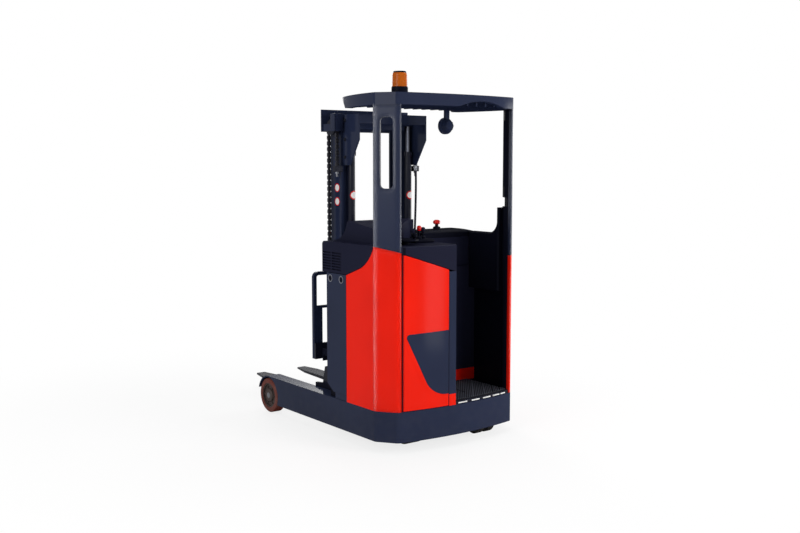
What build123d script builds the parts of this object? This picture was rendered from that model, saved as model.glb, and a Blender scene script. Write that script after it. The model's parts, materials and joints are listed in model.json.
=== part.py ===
"""Stand-on reach truck in millimetres: +Y forward, +X right, +Z up, wheels on the ground at Z 0."""
import os

from build123d import *

os.makedirs("parts", exist_ok=True)

# Overall sizes
WIDTH = 1136
GUARD_TOP = 2250
BODY_TOP = 1308
REAR_BULGE = 188
FORK_FACE = 955
FORK_LENGTH = 1150
HALF = WIDTH / 2
LENGTH = REAR_BULGE + FORK_FACE + FORK_LENGTH

# The side seam, where each rear corner starts, is the datum for distances along the truck
SEAM = REAR_BULGE - LENGTH / 2
REAR = SEAM - REAR_BULGE

# Clearances: between panels, between sliding parts, of a pin in its bore, of a seat that curves
GAP = 4
RUN = 6
FIT = 0.05
SEAT = 0.3

# Load wheels and legs
LOAD_RADIUS = 125
LOAD_WIDTH = 76
LOAD_INSET = 4
RIM_RADIUS = 0.72 * LOAD_RADIUS
CAP_RADIUS = 0.39 * LOAD_RADIUS
ARCH_GAP = 11
FENDER_WALL = 8
FENDER_DROP = 40
ARCH_RADIUS = LOAD_RADIUS + ARCH_GAP
LOAD_AXLE_Y = SEAM + 1326
AXLE_RADIUS = 20
LEG_WIDTH = 105
LEG_BOTTOM = 73
LEG_TOP = 2 * LOAD_RADIUS + ARCH_GAP + FENDER_WALL
LEG_WEB = 16
LEG_PLATE = 18
LEG_IN = HALF - LEG_WIDTH
RAIL_FLANGE = 33
RAIL_LOW = LEG_BOTTOM + RAIL_FLANGE
RAIL_HIGH = LEG_TOP - RAIL_FLANGE
RAIL_END = LOAD_AXLE_Y - ARCH_RADIUS - RUN

# Rear plan shared by skirt, corners, door and roof
CORNER_START = 15
CORNER_IN = 90
CORNER_BACK = 138
CORNER_RADIUS = 45
POST_WIDTH = 111
POST_DEPTH = 24
LINER_DEPTH = 52
SKIRT_WALL = 24

# Body heights and walls
FLOOR_TOP = LEG_TOP + 21
RED_TOP_SIDE = BODY_TOP - 4
RED_TOP_DOOR = BODY_TOP - 41
RED_TOP_RIGHT = BODY_TOP - 104
RED_TOP_JAMB = BODY_TOP - 171
COVER_HIGH = BODY_TOP - 203
COVER_LOW = LEG_TOP + 41
PANEL_WALL = 20
SIDE_WALL = 48
WALL_IN = HALF - SIDE_WALL
PANEL_FRONT = SEAM + 300
BATTERY_FRONT = SEAM + 530
HOOD_FRONT = SEAM + 582
FRONT_WALL = 12
DECK_WALL = 18
DECK_LOW = LEG_TOP - DECK_WALL

# Cabinet and its door
BAY_WIDTH = HALF + 2
CABINET_RIGHT = WALL_IN - BAY_WIDTH
JAMB_LEFT = CABINET_RIGHT - 60
DOOR_LEFT = POST_WIDTH - HALF
DOOR_WALL = 24
DOOR_GAP = 6
PIN_RADIUS = 6
PIN_LENGTH = 14
HINGE_X = DOOR_LEFT + DOOR_GAP + DOOR_WALL / 2
HINGE_Y = SEAM - CORNER_BACK - 5 + DOOR_WALL / 2

# Roof guard, beacon and lamp
ROOF_DEPTH = 75
ROOF_RIM = 52
GUARD_BOTTOM = GUARD_TOP - ROOF_DEPTH
ROOF_FRONT = SEAM + 525
ROOF_TAPER = 128
ROOF_UNDERCUT = 92
ROOF_BARS = 11
BAR_WALL = 12
BAR_DEPTH = 64
SLOT_WIDTH = 83
SLOT_RADIUS = 25
SLOT_LENGTH = (GUARD_BOTTOM - RED_TOP_SIDE) / 2
SLOT_MID = RED_TOP_SIDE + 0.664 * (GUARD_BOTTOM - RED_TOP_SIDE)
ARCH_LEFT = CABINET_RIGHT + 20
ARCH_RISE = 36
BEACON_X = 168 - HALF
BEACON_Y = SEAM - 50
BEACON_RADIUS = 54
BEACON_BASE = 38
BEACON_LENS = 94
LAMP_Y = SEAM + 247
LAMP_RADIUS = 56

# Mast: an outer pair and an inner pair of channels that open towards the middle
MAST_REAR = SEAM + 742
MAST_DEPTH = 128
MAST_FRONT = MAST_REAR + MAST_DEPTH
MAST_MID = MAST_REAR + MAST_DEPTH / 2
MAST_FLANGE = 15
MAST_WEB = 12
MAST_BOTTOM = 110
MAST_TOP = GUARD_TOP - 100
OUTER_WEB_X = LEG_IN - 157
OUTER_LIP_X = OUTER_WEB_X - 48
INNER_WEB_X = OUTER_LIP_X - RUN
INNER_LIP_X = INNER_WEB_X - 54
ROLLER_RADIUS = MAST_DEPTH / 2 - MAST_FLANGE - 0.5
TIE_WALL = 24
YOKE_REAR = SEAM + 550
YOKE_WALL = 10
YOKE_DROP = 345
YOKE_BEAM = 65

# Lift and reach cylinders
LIFT_STROKE = 1400
CYLINDER_X = INNER_WEB_X - 7
CYLINDER_Y = MAST_REAR - 37
CYLINDER_RADIUS = 25
CYLINDER_TOP = MAST_TOP - 250
ROD_RADIUS = 18
ROD_TOP = MAST_TOP - 70
COLLAR = 7
REACH_STROKE = 480
REACH_Z = LEG_TOP - 89
REACH_BARREL = 35

# Reach carriage
BEAM_TOP = LEG_TOP + 31
BEAM_BOTTOM = 100
BEAM_REAR = BATTERY_FRONT + 30
CHEEK_OUT = LEG_IN - 13
CHEEK_WALL = 20
ARM_IN = LEG_IN + RUN
ARM_WALL = 20
ARM_LOW = RAIL_LOW + 16
ARM_HIGH = RAIL_HIGH - 16
REACH_ROLLER = (RAIL_HIGH - RAIL_LOW) / 2 - 0.5
ROLLER_FRONT_Y = RAIL_END - REACH_STROKE - REACH_ROLLER - 2 * RUN
ROLLER_REAR_Y = ROLLER_FRONT_Y - 170

# Lift chains: links in a row, over a sheave on the inner mast and down to an anchor on the outer mast
CHAIN_X = OUTER_WEB_X + 34
CHAIN_WIDTH = 24
CHAIN_THICK = 18
CHAIN_NECK = 4
CHAIN_PITCH = 32
SHEAVE_RADIUS = 40
SHEAVE_FLANGE = 6
SHEAVE_RIM = SHEAVE_RADIUS + 12
SHEAVE_Y = MAST_REAR + 48
SHEAVE_Z = MAST_TOP - 88
CHEEK_GAP = 20
ANCHOR_Z = MAST_TOP - 350
HEAD_HALF = OUTER_WEB_X + 68
HEAD_REAR = MAST_FRONT + RUN
HEAD_WALL = 12

# Lift carriage and fork frame, joined by the tilt pins
PLATE_REAR = MAST_FRONT + RUN
PLATE_WALL = 10
PLATE_LOW = 430
PLATE_HIGH = 520
CARRIAGE_LOW = 140
TILT_Y = PLATE_REAR + 13
TILT_Z = 580
TILT_PIN = 8
EAR_RADIUS = 14
EAR_WALL = 16
EAR_IN = OUTER_WEB_X - 38
EAR_OUT = EAR_IN + 40
PUSH_X = 5 / 9 * INNER_LIP_X
PUSH_Z = 190
FORK_THICK = 40
FORK_WIDTH = 128
FORK_X = 192
FORK_TOP = 120
FORK_TIP = 12
SHANK_FRONT = SEAM + FORK_FACE
SHANK_REAR = SHANK_FRONT - FORK_THICK
SHANK_TOP = 540
BAR_REAR = SHANK_REAR - 18
BAR_LOW = 443
BAR_HIGH = 555
REST_HALF = LEG_IN - 37
REST_TOP = 1060
REST_BAR = 25
REST_RAIL = 810

# Drive unit and caster
DRIVE_X = (DOOR_LEFT + CABINET_RIGHT) / 2
DRIVE_Y = SEAM + 60
DRIVE_RADIUS = 150
DRIVE_WIDTH = 100
DRIVE_DECK = 2 * DRIVE_RADIUS + 40
DECK_HALF = (CABINET_RIGHT - DOOR_LEFT) / 2 - 40
DRIVE_BORE = 0.55 * DECK_HALF
MOTOR_RADIUS = 0.58 * DECK_HALF
MOTOR_LENGTH = 260
CASTER_X = 300
CASTER_Y = SEAM + 20
CASTER_RADIUS = 80
CASTER_TRAIL = 45
CASTER_WIDTH = 44
CASTER_PIN = 12
CASTER_STEM = 14

SIDES = (-1, 1)


def block(x, y, z, mode=Mode.ADD):
    """Adds a box that spans the (low, high) pairs given for X, Y and Z."""
    with Locations(((x[0] + x[1]) / 2, (y[0] + y[1]) / 2, (z[0] + z[1]) / 2)):
        Box(x[1] - x[0], y[1] - y[0], z[1] - z[0], mode=mode)


def span(side, near, far):
    """Returns the (low, high) pair for two distances from the middle on one side."""
    return tuple(sorted((side * near, side * far)))


def about(middle, half):
    """Returns the (low, high) pair at equal distances from a middle."""
    return (middle - half, middle + half)


def rod_x(x, y, z, radius, mode=Mode.ADD):
    """Adds a cylinder along X that spans the (low, high) pair x."""
    with Locations(Location(((x[0] + x[1]) / 2, y, z), (0, 90, 0))):
        Cylinder(radius, x[1] - x[0], mode=mode)


def rod_y(x, y, z, radius, mode=Mode.ADD):
    """Adds a cylinder along Y that spans the (low, high) pair y."""
    with Locations(Location((x, (y[0] + y[1]) / 2, z), (90, 0, 0))):
        Cylinder(radius, y[1] - y[0], mode=mode)


def rod_z(x, y, z, radius, mode=Mode.ADD):
    """Adds a cylinder along Z that spans the (low, high) pair z."""
    with Locations((x, y, (z[0] + z[1]) / 2)):
        Cylinder(radius, z[1] - z[0], mode=mode)


def side_plate(x, points, mode=Mode.ADD):
    """Adds a plate that spans the pair x, with a straight-sided outline of (Y, Z) points."""
    with BuildSketch(Plane.YZ.offset(x[0])) as outline:
        with BuildLine():
            Polyline(*points, close=True)
        make_face()
    extrude(outline.sketch, amount=x[1] - x[0], mode=mode)


def rear_cut(points):
    """Takes away what lies inside an outline of (X, Z) points, right through the truck's length."""
    with BuildSketch(Plane.XZ.offset(-SEAM - LENGTH)) as outline:
        with BuildLine():
            Polyline(*points, close=True)
        make_face()
    extrude(outline.sketch, amount=2 * LENGTH, mode=Mode.SUBTRACT)


def body_plan(inset=0.0, front=SEAM):
    """Returns the plan of the body behind a front line: chamfered rear corners and an arched rear."""
    with BuildSketch() as plan:
        with BuildLine():
            start = (HALF, SEAM - CORNER_START)
            end = (HALF - CORNER_IN, SEAM - CORNER_BACK)
            Polyline((-end[0], end[1]), (-start[0], start[1]), (-HALF, front + inset))
            Line((-HALF, front + inset), (HALF, front + inset))
            Polyline((HALF, front + inset), start, end)
            ThreePointArc(end, (0, REAR), (-end[0], end[1]))
        make_face()
        bends = plan.vertices().filter_by_position(Axis.Y, REAR, SEAM - 1)
        fillet(bends, CORNER_RADIUS)
        if inset:
            offset(amount=-inset, mode=Mode.REPLACE)
    return plan.sketch


def plan_between(x, inset=0.0, front=SEAM):
    """Returns the part of the rear plan between two X."""
    with BuildSketch() as plan:
        add(body_plan(inset, front))
        with Locations(((x[0] + x[1]) / 2, SEAM)):
            Rectangle(x[1] - x[0], 2 * WIDTH, mode=Mode.INTERSECT)
    return plan.sketch


def wall_between(x, wall):
    """Returns the part between two X of a wall that follows the rear plan."""
    with BuildSketch() as plan:
        add(plan_between(x))
        add(body_plan(wall, SEAM + 1), mode=Mode.SUBTRACT)
    return plan.sketch


def roof_plan(inset=0.0):
    """Returns the roof's plan: the body's rear, with sides that draw in towards the front."""
    front_half = HALF - ROOF_TAPER
    swell = (HALF - ROOF_TAPER / 3, SEAM + 0.55 * (ROOF_FRONT - SEAM))
    with BuildSketch() as plan:
        add(body_plan())
        with BuildLine():
            Line((-HALF, SEAM), (HALF, SEAM))
            ThreePointArc((HALF, SEAM), swell, (front_half, ROOF_FRONT))
            Line((front_half, ROOF_FRONT), (-front_half, ROOF_FRONT))
            ThreePointArc((-front_half, ROOF_FRONT), (-swell[0], swell[1]), (-HALF, SEAM))
        make_face()
        if inset:
            offset(amount=-inset, mode=Mode.REPLACE)
    return plan.sketch


def hood_side(grow=0.0):
    """Returns the hood's outline seen from the side; grow widens it where the red panel meets it."""
    with BuildSketch() as outline:
        with BuildLine():
            rear = SEAM + RUN - grow
            bend = (SEAM + 64 - 0.7 * grow, BODY_TOP - 96 - 0.7 * grow)
            knee = (SEAM + 165, BODY_TOP - 155 - grow)
            Polyline(
                knee,
                (PANEL_FRONT, COVER_HIGH - grow),
                (HOOD_FRONT, COVER_HIGH - grow),
                (HOOD_FRONT, BODY_TOP),
                (rear, BODY_TOP),
                (rear, BODY_TOP - 18),
            )
            ThreePointArc((rear, BODY_TOP - 18), bend, knee)
        make_face()
    return outline.sketch


def write(builder, name):
    """Labels a finished piece and writes its file."""
    builder.part.label = name
    export_step(builder.part, f"parts/{name}.step")


# Legs: a rail open to the inside for the reach rollers, a wheel pocket open to the outside
with BuildPart() as legs:
    for side in SIDES:
        with BuildSketch(Plane.YZ.offset(side * HALF)):
            with Locations(((SEAM + LOAD_AXLE_Y) / 2, (LEG_BOTTOM + LEG_TOP) / 2)):
                Rectangle(LOAD_AXLE_Y - SEAM, LEG_TOP - LEG_BOTTOM)
            with Locations((LOAD_AXLE_Y, LOAD_RADIUS)):
                Circle(LEG_TOP - LOAD_RADIUS)
            with Locations((LOAD_AXLE_Y, LEG_BOTTOM - LEG_TOP / 2)):
                Rectangle(4 * LEG_TOP, LEG_TOP, mode=Mode.SUBTRACT)
            with Locations((LOAD_AXLE_Y + LEG_TOP, LOAD_RADIUS + FENDER_DROP - LEG_TOP / 2)):
                Rectangle(2 * LEG_TOP, LEG_TOP, mode=Mode.SUBTRACT)
            with Locations((LOAD_AXLE_Y, LOAD_RADIUS)):
                Circle(LOAD_RADIUS - LEG_BOTTOM + LEG_PLATE)
        extrude(amount=-side * LEG_WIDTH)
        rail = span(side, LEG_IN - 1, HALF - LEG_WEB)
        block(rail, (SEAM + DECK_WALL, RAIL_END), (RAIL_LOW, RAIL_HIGH), Mode.SUBTRACT)
        axle = (LOAD_AXLE_Y, LOAD_RADIUS)
        rod_x(span(side, LEG_IN + LEG_PLATE, HALF + 1), *axle, ARCH_RADIUS, Mode.SUBTRACT)
        rod_x(span(side, LEG_IN + 1, HALF - LEG_WEB), *axle, AXLE_RADIUS)
        rod_x(span(side, LEG_IN + 1, HALF - LOAD_INSET - LOAD_WIDTH - 1), *axle, AXLE_RADIUS + 12)
write(legs, "legs")

for name, side in zip(("left", "right"), SIDES):
    face = HALF - LOAD_INSET
    back = face - LOAD_WIDTH
    axle = (LOAD_AXLE_Y, LOAD_RADIUS)
    with BuildPart() as tyre:
        rod_x(span(side, back, face), *axle, LOAD_RADIUS)
        chamfer(tyre.edges().filter_by(GeomType.CIRCLE), 7)
        rod_x(span(side, back - 1, face + 1), *axle, RIM_RADIUS, Mode.SUBTRACT)
    write(tyre, f"load_tyre_{name}")

    with BuildPart() as hub:
        rod_x(span(side, back + 2, face - 4), *axle, RIM_RADIUS)
        rod_x(span(side, face - 14, face), *axle, RIM_RADIUS - 9, Mode.SUBTRACT)
        rod_x(span(side, back + 2, face + 2), *axle, CAP_RADIUS)
        chamfer(hub.edges().filter_by(GeomType.CIRCLE).sort_by(Axis.X)[-1 if side > 0 else 0], 5)
        rod_x(span(side, back - 1, HALF - LEG_WEB + 2), *axle, AXLE_RADIUS + FIT, Mode.SUBTRACT)
    write(hub, f"load_hub_{name}")

# Chassis frame: cross beams under the battery, deck plate and the raised deck of the drive unit
with BuildPart() as chassis_frame:
    for y in ((BATTERY_FRONT - 30, BATTERY_FRONT), (PANEL_FRONT - 20, PANEL_FRONT)):
        block((-LEG_IN, LEG_IN), y, (LEG_BOTTOM, LEG_TOP))
    block((-LEG_IN, LEG_IN), (SEAM, BATTERY_FRONT), (DECK_LOW, LEG_TOP))
    with BuildSketch(Plane.XY.offset(DECK_LOW)):
        add(body_plan(SKIRT_WALL))
    extrude(amount=DECK_WALL)
    rod_z(DRIVE_X, DRIVE_Y, (DECK_LOW - 1, LEG_TOP + 1), DRIVE_RADIUS + 15, Mode.SUBTRACT)
    rod_z(CASTER_X, CASTER_Y, (DECK_LOW - 1, LEG_TOP + 1), AXLE_RADIUS + FIT, Mode.SUBTRACT)
    for x in about(DRIVE_X, DECK_HALF):
        block(about(x, 8), about(DRIVE_Y + 30, 130), (LEG_TOP, DRIVE_DECK))
    block(about(DRIVE_X, DECK_HALF + 8), about(DRIVE_Y + 30, 130), (DRIVE_DECK, DRIVE_DECK + DECK_WALL))
    rod_z(DRIVE_X, DRIVE_Y, (DRIVE_DECK - 1, DRIVE_DECK + DECK_WALL + 1), DRIVE_BORE, Mode.SUBTRACT)
    rod_y(0, (SEAM, BATTERY_FRONT + 1), REACH_Z, REACH_BARREL, Mode.SUBTRACT)
write(chassis_frame, "chassis_frame")

with BuildPart() as reach_cylinder:
    rod_y(0, (BATTERY_FRONT - REACH_STROKE - 80, BATTERY_FRONT + RUN), REACH_Z, REACH_BARREL)
    rod_y(0, (BATTERY_FRONT - REACH_STROKE - 50, BATTERY_FRONT + 10), REACH_Z, ROD_RADIUS + 0.5, Mode.SUBTRACT)
write(reach_cylinder, "reach_cylinder")

with BuildPart() as rear_skirt:
    with BuildSketch(Plane.XY.offset(LEG_BOTTOM)):
        add(body_plan())
        add(body_plan(SKIRT_WALL, SEAM + 1), mode=Mode.SUBTRACT)
    extrude(amount=LEG_TOP - LEG_BOTTOM)
    rod_z(HINGE_X, HINGE_Y, (LEG_TOP - PIN_LENGTH - 2, LEG_TOP + 1), PIN_RADIUS + FIT, Mode.SUBTRACT)
write(rear_skirt, "rear_skirt")

# Platform: floor plate, and a mat with ribs across the way the operator steps on
FLOOR_RIGHT = DOOR_LEFT * -1 - GAP
MAT_THICK = 8
RIB_PITCH = 24
with BuildPart() as platform_floor:
    with BuildSketch(Plane.XY.offset(LEG_TOP)):
        add(plan_between((CABINET_RIGHT, FLOOR_RIGHT), RUN, PANEL_FRONT - FRONT_WALL))
    extrude(amount=FLOOR_TOP - LEG_TOP)
write(platform_floor, "platform_floor")

with BuildPart() as platform_mat:
    with BuildSketch(Plane.XY.offset(FLOOR_TOP)):
        add(plan_between((CABINET_RIGHT + GAP, FLOOR_RIGHT - GAP), 24, PANEL_FRONT - FRONT_WALL - GAP))
    extrude(amount=MAT_THICK)
    grooves = int((FLOOR_RIGHT - CABINET_RIGHT) / RIB_PITCH)
    with Locations((0, SEAM, FLOOR_TOP + MAT_THICK)):
        with GridLocations(0, RIB_PITCH, 1, 2 * grooves):
            Box(2 * WIDTH, RIB_PITCH / 3, MAT_THICK, mode=Mode.SUBTRACT)
write(platform_mat, "platform_mat")

# Battery block and the covers that close its sides
with BuildPart() as battery_block:
    block(about(0, HALF - PANEL_WALL - GAP), (PANEL_FRONT + 14, BATTERY_FRONT - GAP), (LEG_TOP, COVER_HIGH - 15))
write(battery_block, "battery_block")

with BuildPart() as battery_covers:
    rear = PANEL_FRONT + GAP
    for side in SIDES:
        corner = [(BATTERY_FRONT, COVER_LOW + 50), (BATTERY_FRONT - 75, COVER_LOW)]
        top = [(rear, COVER_LOW), (rear, COVER_HIGH - GAP), (BATTERY_FRONT, COVER_HIGH - GAP)]
        side_plate(span(side, HALF - PANEL_WALL, HALF), top + corner)
        block(span(side, HALF - PANEL_WALL, HALF - GAP), (rear, BATTERY_FRONT - 90), (LEG_TOP, COVER_LOW))
write(battery_covers, "battery_covers")

# Red side panels, cut to the hood's lower edge
with BuildPart() as side_panels:
    for side in SIDES:
        block(span(side, HALF - PANEL_WALL, HALF), (SEAM + 1, PANEL_FRONT), (LEG_TOP, RED_TOP_SIDE))
    with BuildSketch(Plane.YZ.offset(-WIDTH)):
        add(hood_side(GAP))
    extrude(amount=2 * WIDTH, mode=Mode.SUBTRACT)
write(side_panels, "side_panels")

# Corners: red below a sloped line, and above it a dark post with a window slot right through.
# Columns: side, height of the line at the outer edge, height at the inner edge
RED_LINES = (
    (-1, RED_TOP_SIDE, RED_TOP_DOOR),
    (1, RED_TOP_RIGHT + RED_TOP_SIDE - RED_TOP_DOOR, RED_TOP_RIGHT),
)


def slot_plane(side):
    """Returns the plane in the middle of one corner's flat, where its window slot is drawn."""
    middle = (side * (HALF - CORNER_IN / 2), SEAM - (CORNER_START + CORNER_BACK) / 2, SLOT_MID)
    along = (side * CORNER_IN, CORNER_BACK - CORNER_START, 0)
    return Plane(origin=middle, x_dir=along, z_dir=(side * along[1], -side * along[0], 0))


with BuildPart() as corner_panels:
    for side, outer, inner in RED_LINES:
        with BuildSketch(Plane.XY.offset(LEG_TOP)):
            add(wall_between(span(side, HALF - POST_WIDTH, HALF), POST_DEPTH))
        extrude(amount=outer - LEG_TOP)
        line = [(side * HALF, outer), (side * (HALF - POST_WIDTH), inner)]
        rear_cut(line + [(side * (HALF - POST_WIDTH), GUARD_TOP), (side * HALF, GUARD_TOP)])
write(corner_panels, "corner_panels")

with BuildPart() as corner_posts:
    for side, outer, inner in RED_LINES:
        with BuildSketch(Plane.XY.offset(inner)):
            add(wall_between(span(side, HALF - POST_WIDTH, HALF), POST_DEPTH))
        extrude(amount=GUARD_BOTTOM - inner)
        line = [(side * HALF, outer), (side * (HALF - POST_WIDTH), inner)]
        rear_cut(line + [(side * (HALF - POST_WIDTH), 0), (side * HALF, 0)])
        with BuildSketch(slot_plane(side).offset(POST_DEPTH)):
            RectangleRounded(SLOT_WIDTH, SLOT_LENGTH, SLOT_RADIUS)
        extrude(amount=-3 * POST_DEPTH, mode=Mode.SUBTRACT)
write(corner_posts, "corner_posts")

# Cabinet: jamb, wall beside the operator, and the rim above the sloped top of the door
with BuildPart() as door_jamb:
    with BuildSketch(Plane.XY.offset(LEG_TOP)):
        add(wall_between((JAMB_LEFT + GAP, CABINET_RIGHT), POST_DEPTH))
    extrude(amount=RED_TOP_JAMB - LEG_TOP)
write(door_jamb, "door_jamb")

with BuildPart() as cabinet_wall:
    with BuildSketch(Plane.XY.offset(LEG_TOP)):
        add(plan_between((CABINET_RIGHT - 14, CABINET_RIGHT), POST_DEPTH + GAP, PANEL_FRONT))
    extrude(amount=RED_TOP_JAMB - LEG_TOP)
write(cabinet_wall, "cabinet_wall")

DOOR_SLOPE = [(DOOR_LEFT - 1, RED_TOP_DOOR), (CABINET_RIGHT - 10, RED_TOP_JAMB)]
with BuildPart() as cabinet_rim:
    with BuildSketch(Plane.XY.offset(RED_TOP_JAMB)):
        add(plan_between((DOOR_LEFT, CABINET_RIGHT), 0, PANEL_FRONT))
    extrude(amount=BODY_TOP - RED_TOP_JAMB)
    rear_cut(DOOR_SLOPE + [(DOOR_LEFT - 1, RED_TOP_JAMB)])
    fillet(cabinet_rim.edges().group_by(Axis.Z)[-1].filter_by(GeomType.CIRCLE), 14)
    rod_z(HINGE_X, HINGE_Y, (RED_TOP_JAMB, RED_TOP_DOOR + PIN_LENGTH + 2), PIN_RADIUS + FIT, Mode.SUBTRACT)
write(cabinet_rim, "cabinet_rim")

# Service door: a curved leaf with a round hinge edge and a pin at its top and foot
with BuildPart() as service_door:
    with BuildSketch(Plane.XY.offset(LEG_TOP + GAP)):
        add(wall_between((HINGE_X, JAMB_LEFT), DOOR_WALL))
        with Locations((HINGE_X, HINGE_Y)):
            Circle(DOOR_WALL / 2)
    extrude(amount=BODY_TOP - LEG_TOP)
    (x0, z0), (x1, z1) = DOOR_SLOPE
    rear_cut([(x0, z0 - GAP), (x1, z1 - GAP), (x1, GUARD_TOP), (x0, GUARD_TOP)])
    barrel = HINGE_X + DOOR_WALL / 2
    barrel_top = z0 + (barrel - x0) * (z1 - z0) / (x1 - x0) - GAP
    rear_cut([(x0, barrel_top), (barrel, barrel_top), (barrel, GUARD_TOP), (x0, GUARD_TOP)])
    rod_z(HINGE_X, HINGE_Y, (LEG_TOP - PIN_LENGTH, LEG_TOP + PIN_LENGTH), PIN_RADIUS)
    rod_z(HINGE_X, HINGE_Y, (RED_TOP_JAMB, RED_TOP_DOOR + PIN_LENGTH), PIN_RADIUS)
write(service_door, "service_door")

# Hood over the battery, with flanks beside the cabinet and on the side wall, and rows of vents
VENT_COLUMNS = ((SEAM + 360, SEAM + 467), (SEAM + 480, HOOD_FRONT - 8))
VENT_ROWS = 7
VENT_PITCH = 18
VENT_HEIGHT = 9
VENT_DEPTH = 12
with BuildPart() as hood:
    with BuildSketch(Plane.YZ.offset(-HALF)):
        add(hood_side())
    extrude(amount=WIDTH)
    block((DOOR_LEFT, WALL_IN), (SEAM - 1, PANEL_FRONT), (COVER_HIGH - 1, BODY_TOP + 1), Mode.SUBTRACT)
    nose = hood.edges().filter_by(Axis.X).filter_by_position(Axis.Y, HOOD_FRONT - 1, HOOD_FRONT + 1)
    fillet(nose.sort_by(Axis.Z)[-1], 24)
    for side in SIDES:
        for y in VENT_COLUMNS:
            for row in range(VENT_ROWS):
                low = COVER_HIGH + 18 + row * VENT_PITCH
                block(span(side, HALF - VENT_DEPTH, HALF + 1), y, (low, low + VENT_HEIGHT), Mode.SUBTRACT)
write(hood, "hood")

# Cowl on the hood: a hollow front, a top that falls to the rear and a side turned to the operator
COWL_LEFT = 78 - HALF
COWL_REAR = SEAM + 110
COWL_FRONT = HOOD_FRONT - 30
COWL_PEAK = (SEAM + 402, BODY_TOP + 138)
COWL_TAIL = BODY_TOP + 102
COWL_FOOT = 5
with BuildPart() as cowl:
    with BuildSketch(Plane.YZ.offset(COWL_LEFT)):
        with BuildLine():
            foot = (COWL_FRONT, BODY_TOP + COWL_FOOT)
            hollow = (COWL_PEAK[0] + 45, BODY_TOP + 48)
            ThreePointArc(COWL_PEAK, hollow, foot)
            Polyline(foot, (COWL_FRONT, BODY_TOP), (COWL_REAR, BODY_TOP), (COWL_REAR, COWL_TAIL), COWL_PEAK)
        make_face()
    extrude(amount=CABINET_RIGHT + 110 - COWL_LEFT)
    chamfer(cowl.edges().filter_by(Axis.X).group_by(Axis.Z)[-1], 10)
    with BuildSketch(Plane.XY.offset(BODY_TOP - 1)):
        with BuildLine():
            Polyline(
                (COWL_LEFT + 200, COWL_REAR),
                (CABINET_RIGHT + 80, COWL_PEAK[0]),
                (CABINET_RIGHT + 120, COWL_PEAK[0]),
                (CABINET_RIGHT + 120, COWL_REAR),
                close=True,
            )
        make_face()
    extrude(amount=2 * ROOF_DEPTH, mode=Mode.SUBTRACT)
    with BuildSketch(Plane.YZ.offset(COWL_LEFT + 30)):
        with BuildLine():
            Polyline(
                (COWL_REAR - 1, BODY_TOP + 25),
                (COWL_REAR - 1, COWL_TAIL - 22),
                (COWL_REAR + 40, COWL_TAIL - 22),
                (COWL_REAR + 110, BODY_TOP + 25),
                close=True,
            )
        make_face()
    extrude(amount=WIDTH, mode=Mode.SUBTRACT)
write(cowl, "cowl")

# Front wall of the bay with its red kick stripe, right side wall and the pad above it
KICK_TOP = FLOOR_TOP + 82
with BuildPart() as front_wall:
    block((CABINET_RIGHT, WALL_IN), (PANEL_FRONT - FRONT_WALL, PANEL_FRONT), (KICK_TOP, COVER_HIGH))
write(front_wall, "front_wall")

with BuildPart() as kick_stripe:
    block((CABINET_RIGHT, WALL_IN), (PANEL_FRONT - FRONT_WALL - 2, PANEL_FRONT), (FLOOR_TOP, KICK_TOP))
write(kick_stripe, "kick_stripe")

with BuildPart() as side_wall:
    side_plate(
        (WALL_IN, HALF - PANEL_WALL),
        [
            (SEAM, LEG_TOP),
            (SEAM, BODY_TOP - 100),
            (SEAM + 60, BODY_TOP - 170),
            (PANEL_FRONT, COVER_HIGH - 2 * GAP),
            (PANEL_FRONT, LEG_TOP),
        ],
    )
write(side_wall, "side_wall")

PAD_WALL = 60
PAD_LOW = BODY_TOP - 358
PAD_HIGH = BODY_TOP + 38
PAD_HORN = BODY_TOP + 213
PAD_REAR = SEAM - 20
PAD_SWEEP = 84
NOTCH_LOW = PAD_HORN + 7
NOTCH_HIGH = NOTCH_LOW + 62
NOTCH_DEPTH = 18


def liner_plan(near, far):
    """Returns the plan of a layer inside the right corner, between two depths from its outer face."""
    with BuildSketch() as plan:
        add(wall_between((HALF - POST_WIDTH, HALF), far))
        add(wall_between((HALF - POST_WIDTH - 1, HALF), near), mode=Mode.SUBTRACT)
    return plan.sketch


# The pad's horn runs into a liner behind the right corner, notched above the horn as a grip
with BuildPart() as side_pad:
    with BuildSketch(Plane.YZ.offset(WALL_IN - PAD_WALL)):
        with BuildLine():
            horn = SEAM + 2
            sweep = (horn + 0.29 * PAD_SWEEP, PAD_HIGH + 0.29 * PAD_SWEEP)
            Polyline(
                (horn + PAD_SWEEP, PAD_HIGH),
                (PANEL_FRONT - FRONT_WALL, PAD_HIGH),
                (PANEL_FRONT - FRONT_WALL, PAD_LOW),
                (PAD_REAR, PAD_LOW),
                (PAD_REAR, PAD_HORN),
                (horn, PAD_HORN),
                (horn, PAD_HIGH + PAD_SWEEP),
            )
            ThreePointArc((horn, PAD_HIGH + PAD_SWEEP), sweep, (horn + PAD_SWEEP, PAD_HIGH))
        make_face()
    extrude(amount=PAD_WALL)
    chamfer(side_pad.faces().sort_by(Axis.X)[0].edges(), 8)
    with BuildSketch(Plane.XY.offset(FLOOR_TOP)):
        add(liner_plan(POST_DEPTH + SEAT, LINER_DEPTH))
    extrude(amount=GUARD_BOTTOM - FLOOR_TOP)
    with BuildSketch(Plane.XY.offset(NOTCH_LOW)):
        add(liner_plan(LINER_DEPTH - NOTCH_DEPTH, LINER_DEPTH + 1))
    extrude(amount=NOTCH_HIGH - NOTCH_LOW, mode=Mode.SUBTRACT)
    with BuildSketch(slot_plane(1)):
        RectangleRounded(SLOT_WIDTH + 2 * GAP, SLOT_LENGTH + 2 * GAP, SLOT_RADIUS + GAP)
    extrude(amount=-2 * LINER_DEPTH, mode=Mode.SUBTRACT)
write(side_pad, "side_pad")

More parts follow.
